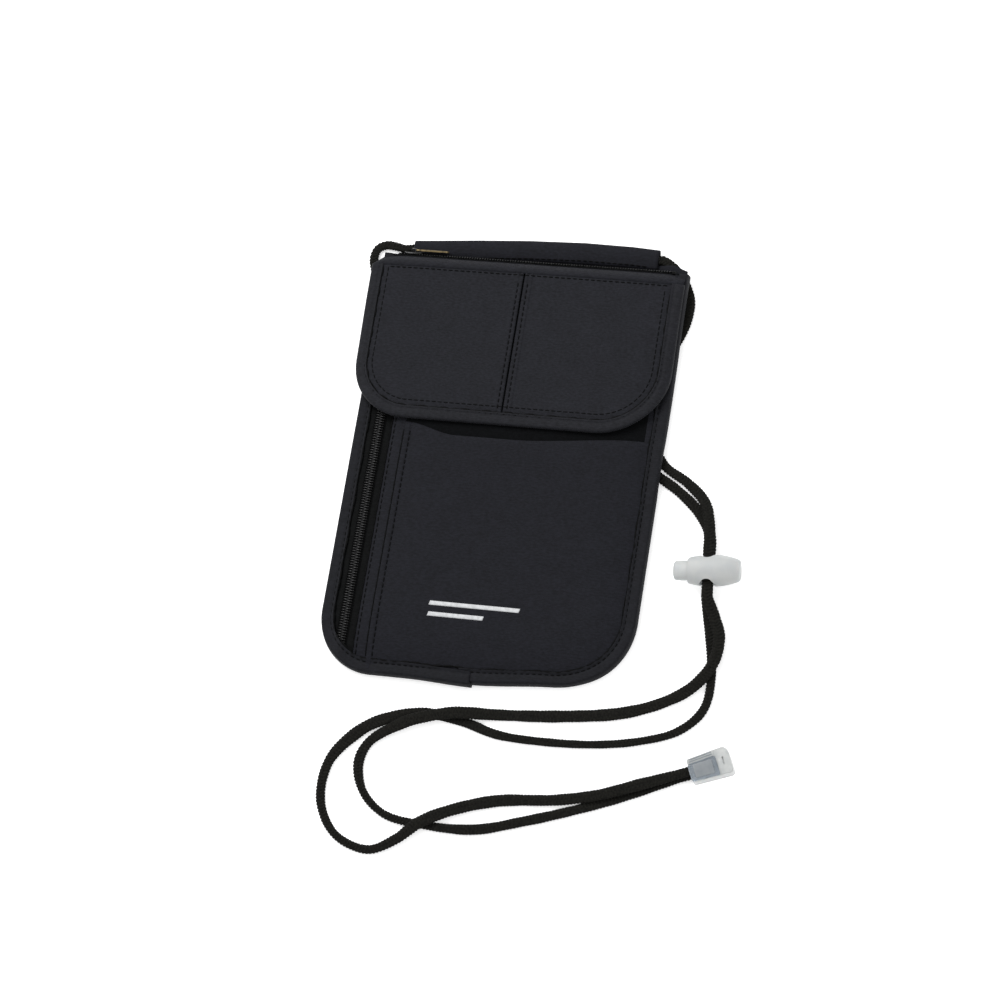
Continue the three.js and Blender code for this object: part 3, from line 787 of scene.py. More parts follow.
def flap_base(x, y):
    """Underside of the flap: level at its hinge, drooping over the pouch at its two sides."""
    side = np.minimum(x - FLAP["left"], FLAP["right"] - x)
    far = smooth_step((192 * MM - y) / (50 * MM))
    end = smooth_step((134 * MM - y) / (11 * MM))
    droop = (1.3 + 2.2 * far) * MM * np.exp(-np.maximum(side, 0) / (5.5 * MM))
    held_x = np.clip(x, BODY["left"] + 3 * MM, BODY["right"] - 3 * MM)
    body = front_height(held_x, y) + SKIN + 0.85 * MM
    return np.maximum(body, FLAP_LEVEL - droop - 0.25 * MM * end)


def flap_pocket_height(x, y):
    """Top face of the flap's two card pockets, with a folded hem on each side of the slit."""
    swell = puff(FLAP, x, y, 5 * MM, 12 * MM)
    rise = (0.85 + 0.55 * swell) * MM + 0.2 * MM * swell * ripple(x, y, 4.0)
    off = np.abs(x - SLIT_X)
    hem = 0.30 * MM * smooth_step((4.6 * MM - off) / (0.8 * MM))
    groove = 0.20 * MM * np.exp(-(((off - 2.3 * MM) / (0.45 * MM)) ** 2))
    lip = 0.35 * MM * smooth_step((0.9 * MM - off) / (0.6 * MM))
    inner = edge_distance(FLAP, x, y) - 8.8 * MM
    ridge = 0.16 * MM * np.exp(-((inner / (1.1 * MM)) ** 2))
    return flap_base(x, y) + rise + hem - groove - lip + ridge


def bow(points):
    """The slight bow of the pouch's bottom edge: low at its left, high towards its right."""
    points = np.array(points, float)
    x = points[:, 0]
    rise = -0.8 + 2.8 * smooth_step(x / (44 * MM)) - 2.0 * smooth_step((x - 50 * MM) / (26 * MM))
    points[:, 1] += rise * MM * np.clip(1 - points[:, 1] / (45 * MM), 0, 1) ** 1.5
    return points


def spaced(start, end, step, fine=()):
    """Column positions: even ones, and close ones round each x in `fine`."""
    places = list(np.linspace(start, end, max(2, int(round((end - start) / step)) + 1)))
    for middle, half, close in fine:
        places = [p for p in places if abs(p - middle) > half]
        places += list(np.linspace(middle - half, middle + half, int(round(2 * half / close)) + 1))
    return np.array(sorted(p for p in places if start <= p <= end))


def outline_grid(edge, inset, top, columns, step):
    """A grid that fills an outline with rounded bottom corners. `top` is a y or a function of x."""
    near, far = edge["near"] - inset, edge["far"] - inset
    bottom = edge["bottom"] + inset
    high = float(np.max(top(columns))) if callable(top) else top
    turn = np.linspace(0.03, math.pi / 2, max(8, int(far * 1.57 / step)))
    arc = bottom + far * (1 - np.cos(turn))
    straight = np.linspace(bottom + far, high, max(2, int((high - bottom - far) / step)) + 1)[1:]
    rows = np.concatenate([arc, straight])
    if callable(top):
        rows = np.concatenate([rows[rows < high - 7 * MM], np.linspace(high - 7 * MM, high, 15)])
    reach_near = np.sqrt(np.maximum(near**2 - np.maximum(bottom + near - rows, 0) ** 2, 0))
    reach_far = np.sqrt(np.maximum(far**2 - np.maximum(bottom + far - rows, 0) ** 2, 0))
    left = edge["left"] + inset + near - reach_near
    right = edge["right"] - inset - far + reach_far
    x = np.clip(columns[None, :], left[:, None], right[:, None])
    y = np.repeat(rows[:, None], len(columns), 1)
    if callable(top):
        y = np.minimum(y, top(x))
    return x, y


def settle(x, y, z, held, swell, limit, frames=14):
    """Cloth simulation of one panel, held where `held` is true. Returns how far each point rose."""
    rows, columns = x.shape
    mesh = bpy.data.meshes.new("settling")
    points = np.stack([x, y, z], -1).reshape(-1, 3)
    mesh.from_pydata([tuple(p) for p in points], [], grid_faces(rows, columns))
    mesh.update()
    cloth = bpy.data.objects.new("settling", mesh)
    bpy.context.collection.objects.link(cloth)
    group = cloth.vertex_groups.new(name="held")
    group.add([int(i) for i in np.flatnonzero(held.ravel())], 1.0, "REPLACE")
    step = cloth.modifiers.new("cloth", "CLOTH")
    step.point_cache.frame_start = 1
    step.point_cache.frame_end = frames
    rules = step.settings
    rules.vertex_group_mass = "held"
    rules.quality = 5
    rules.mass = 0.12
    rules.tension_stiffness = 14
    rules.compression_stiffness = 14
    rules.shear_stiffness = 4
    rules.bending_stiffness = 0.06
    rules.shrink_min = -swell
    rules.effector_weights.gravity = 0
    step.collision_settings.use_collision = False
    scene = bpy.context.scene
    for number in range(1, frames + 1):
        scene.frame_set(number)
    graph = bpy.context.evaluated_depsgraph_get()
    settled = cloth.evaluated_get(graph).to_mesh()
    moved = np.empty(len(points) * 3)
    settled.vertices.foreach_get("co", moved)
    bpy.data.objects.remove(cloth)
    scene.frame_set(1)
    rise = (moved.reshape(-1, 3) - points)[:, 2].reshape(z.shape)
    rise = limit * np.tanh(rise / limit)
    for _ in range(2):
        wide = np.pad(rise, 1, mode="edge")
        rise = (wide[:-2, 1:-1] + wide[2:, 1:-1] + wide[1:-1, :-2] + wide[1:-1, 2:] + 2 * rise) / 6
    rise[held] = 0
    return rise


# ---- pouch body ----


TUCK = 2.2 * MM  # how far the body's panels stop inside its outline, under the binding
STITCH_PITCH = 2.9 * MM
BODY_LIP = 6.6 * MM  # width of the body's binding
TAPE_END_X = 2 * MM  # where the binding's two ends overlap


def finish_sheet(obj, body, slot, node):
    """Finish a cloth panel."""
    finish_piece(obj, body, slot, node)


def body_grid(top, start, step, fine=()):
    """A grid over the body, from x = `start` to where its right edge goes under the binding."""
    return outline_grid(BODY, TUCK, top, spaced(start, BODY["right"] - TUCK, step, fine), step)


def gripped(x, y):
    """Where the binding holds the body's panels down."""
    return edge_distance(BODY, x, y) < 7 * MM


def seam_groove(x, seam, depth):
    """The furrow that a row of stitches pulls into the cloth."""
    return depth * np.exp(-(((x - seam) / (0.5 * MM)) ** 2))


def make_body():
    """The four panels of the body. Returns the slip pocket's grid, which the printed bars lie on."""
    left = BODY["left"] + TUCK

    def back_top(x):
        rise = 2.6 * smooth_step((x - 46 * MM) / (9 * MM)) * smooth_step((74.5 * MM - x) / (10 * MM))
        return (208.8 + rise - 3.0 * smooth_step((-x - 69 * MM) / (5 * MM))) * MM

    x, y = body_grid(back_top, left, 1.8 * MM)
    low = back_height(x, y)
    held = gripped(x, y) | (cord_lift(x, y, 8 * MM) > 0.2) | (y > 198 * MM)
    low = low + 0.3 * MM + np.maximum(settle(x, y, low, held, 0.02, 0.5 * MM), -0.25 * MM)
    back = thin_solid("back_panel_cloth", x, y, low + CLOTH, low, FABRIC, bow)
    finish_sheet(back, "pouch", "shell_fabric", "back_panel")

    x, y = body_grid(203 * MM, left, 3 * MM)
    middle = (back_height(x, y) + front_height(x, y)) / 2
    lining = thin_solid("main_pocket_lining_cloth", x, y, middle + 0.3 * MM, middle, LINING, bow)
    finish_sheet(lining, "pouch", "lining_fabric", "main_pocket_lining")

    x, y = body_grid(204.5 * MM, FRONT_LEFT, 1.8 * MM, [(TAPE_SEAM, 2.4 * MM, 0.3 * MM)])
    high = front_height(x, y)
    held = gripped(x, y) | (x < TAPE_SEAM + 1.5 * MM) | (y > 190 * MM)
    high = high + settle(x, y, high, held | (y < 100 * MM), 0.02, 0.4 * MM)
    fold = smooth_step((x - FRONT_LEFT) / (1.0 * MM))
    groove = seam_groove(x, TAPE_SEAM, 0.25 * MM)
    high = high + SKIN * (0.3 + 0.7 * fold) - groove
    front = thin_solid("front_panel_cloth", x, y, high, high - 0.5 * MM, FABRIC, bow)
    front.data.materials.append(LINING)
    inner = []  # 1 where the black cloth shows behind the slip pocket's mouth
    for face in front.data.polygons:
        spot = np.array(face.center) - ORIGIN
        inner.append(int(SLIP_LEFT < spot[0] < 66.2 * MM and spot[1] < 199 * MM))
    front.data.polygons.foreach_set("material_index", inner)
    finish_sheet(front, "pouch", "shell_fabric", "front_panel")

    x, y = body_grid(slip_mouth, SLIP_LEFT, 1.6 * MM, [(-47.6 * MM, 1.6 * MM, 0.2 * MM)])
    high = slip_height(x, y)
    held = gripped(x, y) | (x < SLIP_SEAM + 1.0 * MM)
    high = high + np.maximum(settle(x, y, high, held, 0.022, 0.7 * MM), -0.35 * MM)
    slip = thin_solid("slip_pocket_cloth", x, y, high, high - CLOTH, FABRIC, bow)
    finish_sheet(slip, "pouch", "shell_fabric", "slip_pocket_panel")
    return x, y, high


SLIP_X, SLIP_Y, SLIP_Z = make_body()


def slip_surface(x, y):
    """Heights of the settled slip pocket, read off its grid."""
    flat = SLIP_X.ravel(), SLIP_Y.ravel(), SLIP_Z.ravel()
    heights = []
    for px, py in zip(np.ravel(x), np.ravel(y)):
        gap = (flat[0] - px) ** 2 + (flat[1] - py) ** 2
        near = np.argpartition(gap, 4)[:4]
        share = 1 / (gap[near] + 1e-9)
        heights.append(float(np.sum(flat[2][near] * share) / np.sum(share)))
    return np.array(heights).reshape(np.shape(x))


def outline_path(edge, top, step, inset=0.0, rise=0.0):
    """Points along an outline's left, bottom and right edges, with their inward directions."""
    near, far = edge["near"], edge["far"]
    left, right, bottom = edge["left"], edge["right"], edge["bottom"]
    near_side = max(2, int((top - bottom - near) / step))
    far_side = max(2, int((top - bottom - far) / step))
    floor = max(2, int((right - left - near - far) / step))

    def quarter(x, radius, first):
        count = max(6, int(radius * 1.57 / step))
        turn = np.linspace(first, first + math.pi / 2, count, endpoint=False)
        arms = np.stack([np.cos(turn), np.sin(turn)], -1)
        return np.array([x, bottom + radius]) + radius * arms, -arms

    def side(x, start, end, count, inward, closed=False):
        y = np.linspace(start, end, count, endpoint=closed)
        return np.stack([np.full(count, x), y], -1), np.tile([inward, 0.0], (count, 1))

    along_floor = np.linspace(left + near, right - far, floor, endpoint=False)
    runs = [
        side(left, top, bottom + near, near_side, 1.0),
        quarter(left + near, near, math.pi),
        (np.stack([along_floor, np.full(floor, bottom)], -1), np.tile([0.0, 1.0], (floor, 1))),
        quarter(right - far, far, 1.5 * math.pi),
        side(right, bottom + far, top + rise, far_side + 1, -1.0, True),
    ]
    points = np.vstack([run[0] for run in runs])
    inward = np.vstack([run[1] for run in runs])
    return points + inset * inward, inward


def rolled_binding(name, points, inward, low, high, lip, shift=None, cloth=BINDING_CLOTH):
    """A tape folded over the cloth's edge: a soft lens in section that follows both faces."""
    share = np.concatenate([[1.0, 0.988, 0.96], np.linspace(0.92, 0, 13)])
    reach = lip * share
    along = distances(points)
    pucker = 0.05 * MM * np.sin(2 * math.pi * along / (5.5 * MM))
    pucker = pucker + 0.10 * MM * np.sin(along / (13 * MM))
    pull = 0.10 * MM * np.cos(2 * math.pi * along / STITCH_PITCH)
    bulge = np.sin(math.pi * share**0.8) * 0.5 + 0.5
    seam = np.exp(-(((reach - (lip - 1.5 * MM)) / (0.55 * MM)) ** 2))
    round_edge = np.sqrt(np.clip(1 - (1 - np.minimum(reach / (1.3 * MM), 1)) ** 2, 0, 1))
    rings = []
    for side in (1, -1):
        spots = points[:, None, :] + reach[None, :, None] * inward[:, None, :]
        x, y = spots[..., 0], spots[..., 1]
        upper, lower = high(x, y), low(x, y)
        face = upper if side > 0 else lower
        middle = (upper + lower) / 2
        tape = (0.62 + 0.25 * bulge - 0.42 * seam)[None, :] * MM + pucker[:, None] * bulge[None, :]
        tape = tape + pull[:, None] * seam[None, :]
        z = middle + (face + side * tape - middle) * round_edge[None, :]
        z[:, 0] = face[:, 0] + side * 0.05 * MM
        rings.append(np.stack([x, y, z], -1))
    ring = np.concatenate([rings[0], rings[1][:, ::-1][:, 1:]], 1)
    rows, sides = ring.shape[:2]
    flat = ring.reshape(-1, 3)
    faces = tube_faces(rows, sides)
    return weld(make_object(name, flat if shift is None else shift(flat), faces, cloth))


def stitches(
    name, path, height, shift=None, pitch=STITCH_PITCH, body="pouch", slot="binding_tape",
    fill=0.74, thick=0.30,
):
    """A row of thread stitches along a path, each a short capsule half sunk in the cloth."""
    path = np.asarray(path, float)
    along = distances(path)
    starts = np.arange(0.4 * MM, along[-1] - pitch, pitch)
    shares = np.array([0.0, 0.16, 0.5, 0.84, 1.0])
    spots = starts[:, None] + shares[None, :] * pitch * fill
    x = np.interp(spots, along, path[:, 0])
    y = np.interp(spots, along, path[:, 1])
    z = height(x, y) + np.array([-0.16, 0.02, 0.10, 0.02, -0.16]) * MM
    points = np.stack([x, y, z], -1)
    if shift is not None:
        points = shift(points.reshape(-1, 3)).reshape(points.shape)
    shells = Shells()
    shells.tubes(points, np.array([0.35, 0.87, 1.0, 0.87, 0.35]) * thick * MM)
    return finish_piece(shells.make(name, [THREAD]), body, slot)


def above(surface, rise):
    """The height field `rise` mm above another."""
    return lambda x, y: surface(x, y) + rise * MM


def upright(x, low, high, step=1 * MM):
    """Points up a line of constant x."""
    y = np.arange(low, high, step)
    return np.stack([np.full_like(y, x), y], -1)


def coil_cover(x, y):
    """How much the binding bulges where the lower end of the side zip runs under it."""
    return 1.4 * MM * np.exp(-(((x - SIDE_ZIP_X) / (4.5 * MM)) ** 2)) * (y < 60 * MM)


def body_low(x, y):
    inside = np.maximum(edge_distance(BODY, x, y), 0)
    edge = EDGE_LOW + CORD_LIFT * cord_lift(x, y, 5.5 * MM)
    return np.where(inside > 6 * MM, back_height(x, y), edge) + 0.2 * MM


def body_high(x, y):
    on_slip = smooth_step((x - SLIP_SEAM) / (3 * MM))
    on_slip = on_slip * smooth_step((slip_mouth(x) + 2 * MM - y) / (4 * MM))
    return front_height(x, y) + (0.45 + 0.85 * on_slip) * MM + coil_cover(x, y)


def lapped_low(x, y):
    """Underside of the binding's left half, whose end lies over the right half's."""
    return body_low(x, y) - 0.25 * MM * (x > -12 * MM) * (y < 12 * MM)


def lapped_high(x, y):
    return body_high(x, y) + 0.6 * MM * smooth_step((x + 14 * MM) / (6 * MM)) * (y < 12 * MM)


def make_body_binding():
    """The body's binding in two halves, with its stitches and a painted shade line along its inner
    edge.
    """
    points, inward = outline_path(BODY, 206.0 * MM, 1.0 * MM, rise=2.6 * MM)
    off_end = np.abs(points[:, 0] - TAPE_END_X) + 10 * np.abs(points[:, 1] - BODY["bottom"])
    split = int(np.argmin(off_end))
    near = slice(0, split + 1)
    far = slice(split - 6, len(points) - 3)
    end_lap = smooth_step((points[near, 0] + 30 * MM) / (32 * MM)) * (points[near, 1] < 1 * MM)
    lapped = points[near] - inward[near] * (1.2 * MM * end_lap)[:, None]
    left = rolled_binding(
        "body_binding_tape_left", lapped, inward[near], lapped_low, lapped_high, BODY_LIP, bow,
    )
    right = rolled_binding(
        "body_binding_tape_right", points[far], inward[far], body_low, body_high, BODY_LIP, bow,
    )
    finish_piece(left, "pouch", "binding_tape", "body_binding_left")
    finish_piece(right, "pouch", "binding_tape", "body_binding_right")
    seam, _ = outline_path(BODY, 200 * MM, 1.0 * MM, BODY_LIP - 1.3 * MM)
    stitches("body_binding_stitches", seam, above(body_high, 0.34), bow)
    # A continuous row of near black thread along the binding's inner edge: painted shade for the dark
    # groove there.
    edge, _ = outline_path(BODY, 204 * MM, 1.0 * MM, BODY_LIP + 0.05 * MM, 3 * MM)
    edge = edge + 0.25 * MM * np.sin(np.arange(len(edge)) / 3.1)[:, None]
    stitches(
        "body_binding_edge_shade_line", edge, above(body_high, 0.22), bow, 5.2 * MM, fill=1.06, thick=0.52,
    )
    end = upright(TAPE_END_X + 0.35 * MM, -0.4 * MM, 6.6 * MM, 0.5 * MM)
    stitches(
        "body_binding_end_seam", end, above(body_high, 0.35), bow, 2.6 * MM, fill=1.05, thick=0.4,
    )
    stitches("body_binding_stitches_back", seam, above(body_low, -0.5), bow, 5.8 * MM)


make_body_binding()


def make_body_seams():
    """A row of stitches and a painted shade line each, for the slip pocket's fold and the side zip's.
    """
    # The edge lines are continuous near black thread along each folded edge: painted shade for the
    # groove there.
    shade_line = {"pitch": 6.1 * MM, "fill": 1.05}
    for name, x, low, high, height, look in (
        ("slip_pocket_stitches", SLIP_SEAM, 7.5, 121, above(slip_height, 0.1), {}),
        ("slip_pocket_edge_shade_line", SLIP_LEFT - 0.35 * MM, 7.5, 121.5,
         lambda x, y: front_height(x, y) + SKIN + 0.15 * MM, {**shade_line, "thick": 0.40}),
        ("zip_seam_stitches", TAPE_SEAM, 8, 198, above(front_height, 0.38), {}),
        ("zip_fold_edge_shade_line", FRONT_LEFT - 0.1 * MM, 8, 198,
         above(front_height, 0.35), {**shade_line, "thick": 0.38}),
    ):
        stitches(name, upright(x, low * MM, high * MM), height, bow, slot="shell_fabric", **look)


make_body_seams()


def make_mark():
    """A plain printed device: one long and one short bar."""
    for index, (left, right, middle) in enumerate(((-22.5, 20.5, 34.6), (-22.5, 4.0, 29.4))):
        places = np.linspace(left, right, 44) * MM
        x, y = np.meshgrid(places, (middle + np.linspace(-1.0, 1.0, 4)) * MM)
        x = x + (y - middle * MM) * 0.25
        z = slip_surface(x, y)
        bar = thin_solid(f"printed_bar_{index + 1}", x, y, z + 0.07 * MM, z - 0.1 * MM, PRINT)
        finish_piece(bar, "pouch", "shell_fabric")


make_mark()

# ---- flap ----

FLAP_LIP = 6.0 * MM  # width of the flap's binding
PATCH = {"x": -2 * MM, "y": 142 * MM, "width": 34 * MM, "height": 16 * MM}


def make_flap():
    """The flap's lining, its two card pockets, its binding, their stitches and a painted shade line
    along the binding's inner edge.
    """
    tuck = 1.6 * MM
    left, right = FLAP["left"] + tuck, FLAP["right"] - tuck
    top = FLAP["top"]
    x, y = outline_grid(FLAP, tuck, top, spaced(left, right, 2.0 * MM), 2.0 * MM)
    low = flap_base(x, y)
    lining = thin_solid("flap_lining_cloth", x, y, low + CLOTH, low, LINING)
    finish_sheet(lining, "flap", "lining_fabric", "flap_lining")

    slit_half = 0.40 * MM
    for side, start, end, close_x in (
        ("left", left, SLIT_X - slit_half, SLIT_X - slit_half - 2.6 * MM),
        ("right", SLIT_X + slit_half, right, SLIT_X + slit_half + 2.6 * MM),
    ):
        close = [(close_x, 2.6 * MM, 0.2 * MM)]
        places = np.append(spaced(start, end, 1.5 * MM, close), [start, end])
        x, y = outline_grid(FLAP, tuck, top, np.unique(places), 1.5 * MM)
        high = flap_pocket_height(x, y)
        held = (edge_distance(FLAP, x, y) < 6.5 * MM) | (y > top - 2.5 * MM)
        held = held | (np.abs(x - SLIT_X) < 2.6 * MM)
        high = high + settle(x, y, high, held, 0.02, 0.45 * MM)
        pocket = thin_solid(f"flap_pocket_{side}_cloth", x, y, high, high - 0.35 * MM, LIT_FLAP_FABRIC)
        finish_sheet(pocket, "flap", "shell_fabric", f"flap_pocket_{side}")

    points, inward = outline_path(FLAP, top, 1.0 * MM)
    binding = rolled_binding(
        "flap_binding_tape", points, inward, flap_base, above(flap_pocket_height, -0.05), FLAP_LIP,
        cloth=LIT_FLAP_BINDING_CLOTH,
    )
    finish_piece(binding, "flap", "binding_tape", "flap_binding")

    def seam(inset):
        return outline_path(FLAP, top - 1 * MM, 1.0 * MM, inset)[0]

    binding_seam = seam(FLAP_LIP - 0.8 * MM)
    stitches("flap_binding_stitches", binding_seam, above(flap_pocket_height, 0.26), body="flap")
    stitches(
        "flap_binding_stitches_under", binding_seam, above(flap_base, -0.30), pitch=5.8 * MM,
        body="flap",
    )
    # A continuous row of near black thread along the binding's inner edge: painted shade for the dark
    # groove there.
    edge = seam(FLAP_LIP + 0.1 * MM)
    edge = edge + 0.2 * MM * np.sin(np.arange(len(edge)) / 1.7)[:, None]
    stitches(
        "flap_binding_edge_shade_line", edge, above(flap_pocket_height, 0.1), pitch=5.2 * MM, body="flap",
        fill=1.06, thick=0.52,
    )
    on_pocket = {"body": "flap", "slot": "shell_fabric"}
    inner_seam = seam(FLAP_LIP + 2.9 * MM)
    stitches(
        "flap_inner_stitches", inner_seam, above(flap_pocket_height, -0.08), **on_pocket, fill=0.9,
        thick=0.26,
    )
    for side, offset in (("left", -2.3 * MM), ("right", 2.3 * MM)):
        row = upright(SLIT_X + offset, 130.5 * MM, 198.5 * MM)
        stitches(f"slit_stitches_{side}", row, above(flap_pocket_height, 0.02), **on_pocket)


make_flap()


def patch(name, low_height, thickness, body, node, bristle):
    """A patch of hook or loop tape: a woven ground with rows of bristles on one face."""
    half_x, half_y = PATCH["width"] / 2, PATCH["height"] / 2
    x, y = np.meshgrid(
        PATCH["x"] + np.linspace(-half_x, half_x, 24), PATCH["y"] + np.linspace(-half_y, half_y, 12)
    )
    low = low_height(x, y)
    ground = thin_solid(name, x, y, low + thickness, low, HOOK)
    finish_piece(ground, body, "hook_and_loop", node)
    spots_x, spots_y = np.meshgrid(
        PATCH["x"] + np.arange(-half_x + 1.2 * MM, half_x - 1 * MM, 1.5 * MM),
        PATCH["y"] + np.arange(-half_y + 1.2 * MM, half_y - 1 * MM, 1.5 * MM),
    )
    base = low_height(spots_x, spots_y) + (thickness if bristle > 0 else 0)
    sway = np.sin(spots_x * 9000) * 0.15 * MM
    path = np.stack([
        np.stack([spots_x, spots_y, base - 0.1 * bristle], -1),
        np.stack([spots_x + sway, spots_y, base + 0.6 * bristle], -1),
        np.stack([spots_x + 0.3 * MM, spots_y + sway, base + bristle], -1),
    ], 2).reshape(-1, 3, 3)
    shells = Shells()
    shells.tubes(path, np.array([0.14, 0.12, 0.1]) * MM, sides=5)
    finish_piece(shells.make(f"{name}_bristles", [HOOK]), body, "hook_and_loop")


patch(
    "loop_tape", lambda x, y: front_height(x, y) + SKIN + 0.05 * MM, 0.25 * MM, "pouch",
    "loop_patch", 0.25 * MM,
)
patch("hook_tape", above(flap_base, -0.32), 0.27 * MM, "flap", "hook_patch", -0.2 * MM)

# ---- hinge strip and cord tunnel ----


def make_hinge_strip():
    """The flap's cloth, carried on from its top seam over the pouch's top edge to the zip."""
    columns = spaced(-78.5 * MM, 73.5 * MM, 1.6 * MM)
    right_end = smooth_step((columns - 64 * MM) / (10 * MM))
    end = np.maximum(smooth_step((-columns - 64 * MM) / (15 * MM)), right_end)
    corner = np.clip((-columns - 66.7 * MM) / (12.2 * MM), 0, 1)
    far_edge = (205.5 - 0.6 * corner - 4.6 * corner**4 - 0.6 * right_end) * MM
    seam_y = 198.9 * MM
    seam_z = flap_pocket_height(columns, np.full_like(columns, seam_y)) + 0.30 * MM
    edge_z = (7.9 - 1.3 * end) * MM
    rows = []
    for part in np.linspace(0, 1, 15):
        y = seam_y + (far_edge - seam_y) * part
        crown = 0.55 * math.sin(math.pi * min(1.0, part * 1.15)) * MM
        z = seam_z + (edge_z - seam_z) * part**1.7 + crown
        if part < 0.12:
            z = z - 0.35 * MM * math.cos(part / 0.12 * math.pi / 2)
        rows.append(np.stack([columns, y, z + 0.12 * MM * part * ripple(columns, y, 5.0)], -1))
    last = rows[-1]
    for turn in (0.35, 0.75, 1.1):
        rows.append(last + np.array([0, 0.55 * MM * math.sin(turn), -1.0 * MM * turn]))
    grid = np.array(rows)
    upward = np.gradient(grid, axis=0)
    normal = unit(np.cross(np.gradient(grid, axis=1), upward))
    strip = sheet_solid("hinge_strip_cloth", grid, grid - 0.45 * MM * normal, LIT_FLAP_FABRIC)
    finish_sheet(strip, None, "shell_fabric", "top_band")
    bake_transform(strip)
    places = np.arange(-70 * MM, 68 * MM, 1 * MM)
    stitches(
        "flap_top_stitches", np.stack([places, np.full_like(places, 198.1 * MM)], -1),
        above(flap_pocket_height, 0.03), body="flap", slot="shell_fabric",
    )


make_hinge_strip()


def tunnel_top(x):
    """Where the tunnel's far edge runs: a long shallow bow."""
    return np.interp(x, np.array([-62, -46, -30, -5, 21.7, 45, 58]) * MM,
                     np.array([215.5, 216.7, 217.9, 219.4, 220.2, 219.8, 219.0]) * MM)


def make_tunnel():
    """A folded tube of cloth, open at both ends, sewn on behind the pouch's top edge."""
    columns = np.linspace(-62 * MM, 58 * MM, 70)
    section = np.array([
        (-11.8, 1.15), (-10.0, 0.55), (-7.0, 0.25), (-3.5, 0.2), (-1.2, 0.35), (-0.25, 0.95),
        (0.0, 1.8), (-0.3, 2.7), (-1.3, 3.25), (-3.5, 3.55), (-6.5, 3.35), (-9.0, 2.7),
        (-11.2, 1.75),
    ]) * MM
    seam_y = 207.8 * MM  # where the tube's two edges meet on the pouch
    inner_share = np.array([0.93, 0.78])  # the inner face, scaled from the outer one
    low_side = section[:, 1] < 1.8 * MM
    rings = []
    for x in columns:
        slack = 0.12 * MM * math.sin(x * 230) + 0.1 * MM * math.sin(x * 520 + 1)
        top = tunnel_top(x)
        outer = np.column_stack([np.full(len(section), x), top + section[:, 0], section[:, 1]])
        outer[:, 2] += np.where(low_side, 0, slack) * (section[:, 0] < -1 * MM)
        outer[0, 1] = outer[-1, 1] = seam_y
        inner = outer.copy()
        middle = np.array([top - 5 * MM, 1.8 * MM])
        inner[:, 1:] = middle + (outer[:, 1:] - middle) * inner_share
        rings.append(np.vstack([outer, inner[::-1]]))
    rings = np.array(rings)
    count = rings.shape[1]
    faces = grid_faces(len(columns), count, wrap=True)
    for base, flip in ((0, True), ((len(columns) - 1) * count, False)):
        for i in range(len(section) - 1):
            quad = (base + i, base + i + 1, base + count - 2 - i, base + count - 1 - i)
            faces.append(quad[::-1] if flip else quad)
    tunnel = make_object("cord_tunnel_cloth", rings.reshape(-1, 3), faces, FABRIC)
    weld(tunnel)
    finish_sheet(tunnel, "pouch", "shell_fabric", "cord_tunnel")
    places = np.arange(-60 * MM, 57 * MM, 1 * MM)
    stitches(
        "tunnel_stitches", np.stack([places, tunnel_top(places) - 9.4 * MM], -1),
        lambda x, y: np.full_like(x, 2.75 * MM), slot="shell_fabric",
    )


make_tunnel()

# ---- zips ----
# A zip is built along +x with its chain in the plane z = 0, and then moved to its place.


def turned(axis, degrees):
    return np.array(Matrix.Rotation(math.radians(degrees), 3, axis))


SIDE_FRAME = (turned("Z", -90), np.array([SIDE_ZIP_X, 197 * MM, SIDE_ZIP_PLANE]))
TOP_FRAME = (turned("X", -70), np.array([-66 * MM, 206.9 * MM, 5.2 * MM]))
TOOTH_PITCH = 1.25 * MM
PIN_HEIGHT = 2.3  # mm from the chain to the pin that the pull turns on


def coil(name, length, side, frame, node):
    """One side's row of teeth: looped strands that reach past the middle, held by two seams."""
    count = int(length / TOOTH_PITCH)
    x = (np.arange(count) + (0.5 if side > 0 else 1.0)) * TOOTH_PITCH
    profile = np.array([
        (2.15, -0.40, 0.16), (2.25, 0.05, 0.24), (1.85, 0.38, 0.27), (1.0, 0.50, 0.28),
        (0.1, 0.36, 0.31), (-0.55, 0.05, 0.36), (-0.72, -0.2, 0.24),
    ]) * MM
    lean = np.linspace(-0.14, 0.14, len(profile)) * MM
    path = np.stack([
        x[:, None] + lean[None, :],
        np.broadcast_to(side * profile[:, 0], (count, len(profile))),
        np.broadcast_to(profile[:, 1], (count, len(profile))),
    ], -1)
    shells = Shells()
    shells.tubes(path, profile[:, 2], sides=7)
    finish_piece(shells.make(name, [COIL], frame), "pouch", "zip_coil", node)
    seams = Shells()
    for offset in (1.45, 2.55):
        starts = np.arange(0.3 * MM, length - 2 * MM, TOOTH_PITCH)
        path = np.stack([
            starts[:, None] + np.array([0.0, 0.3, 0.8, 1.05]) * MM,
            np.full((len(starts), 4), side * offset * MM),
            np.broadcast_to(np.array([0.1, 0.62, 0.62, 0.1]) * MM, (len(starts), 4))
            - (0.45 * MM if offset > 2 else 0),
        ], -1)
        seams.tubes(path, np.array([0.1, 0.14, 0.14, 0.1]) * MM, sides=5)
    finish_piece(seams.make(name + "_thread", [THREAD], frame), "pouch", "zip_coil")


def stop(name, at, frame, node):
    """A crimped metal staple round the chain's end."""
    shells = Shells()
    outline = rounded_box((at, -2.1 * MM), (at + 1.5 * MM, 2.1 * MM), [0.5 * MM] * 4)
    shells.plate(outline, -0.55 * MM, 0.62 * MM, 0.2 * MM)
    finish_piece(shells.make_hard(name, [DARK_METAL], frame), "pouch", "zip_metal", node)


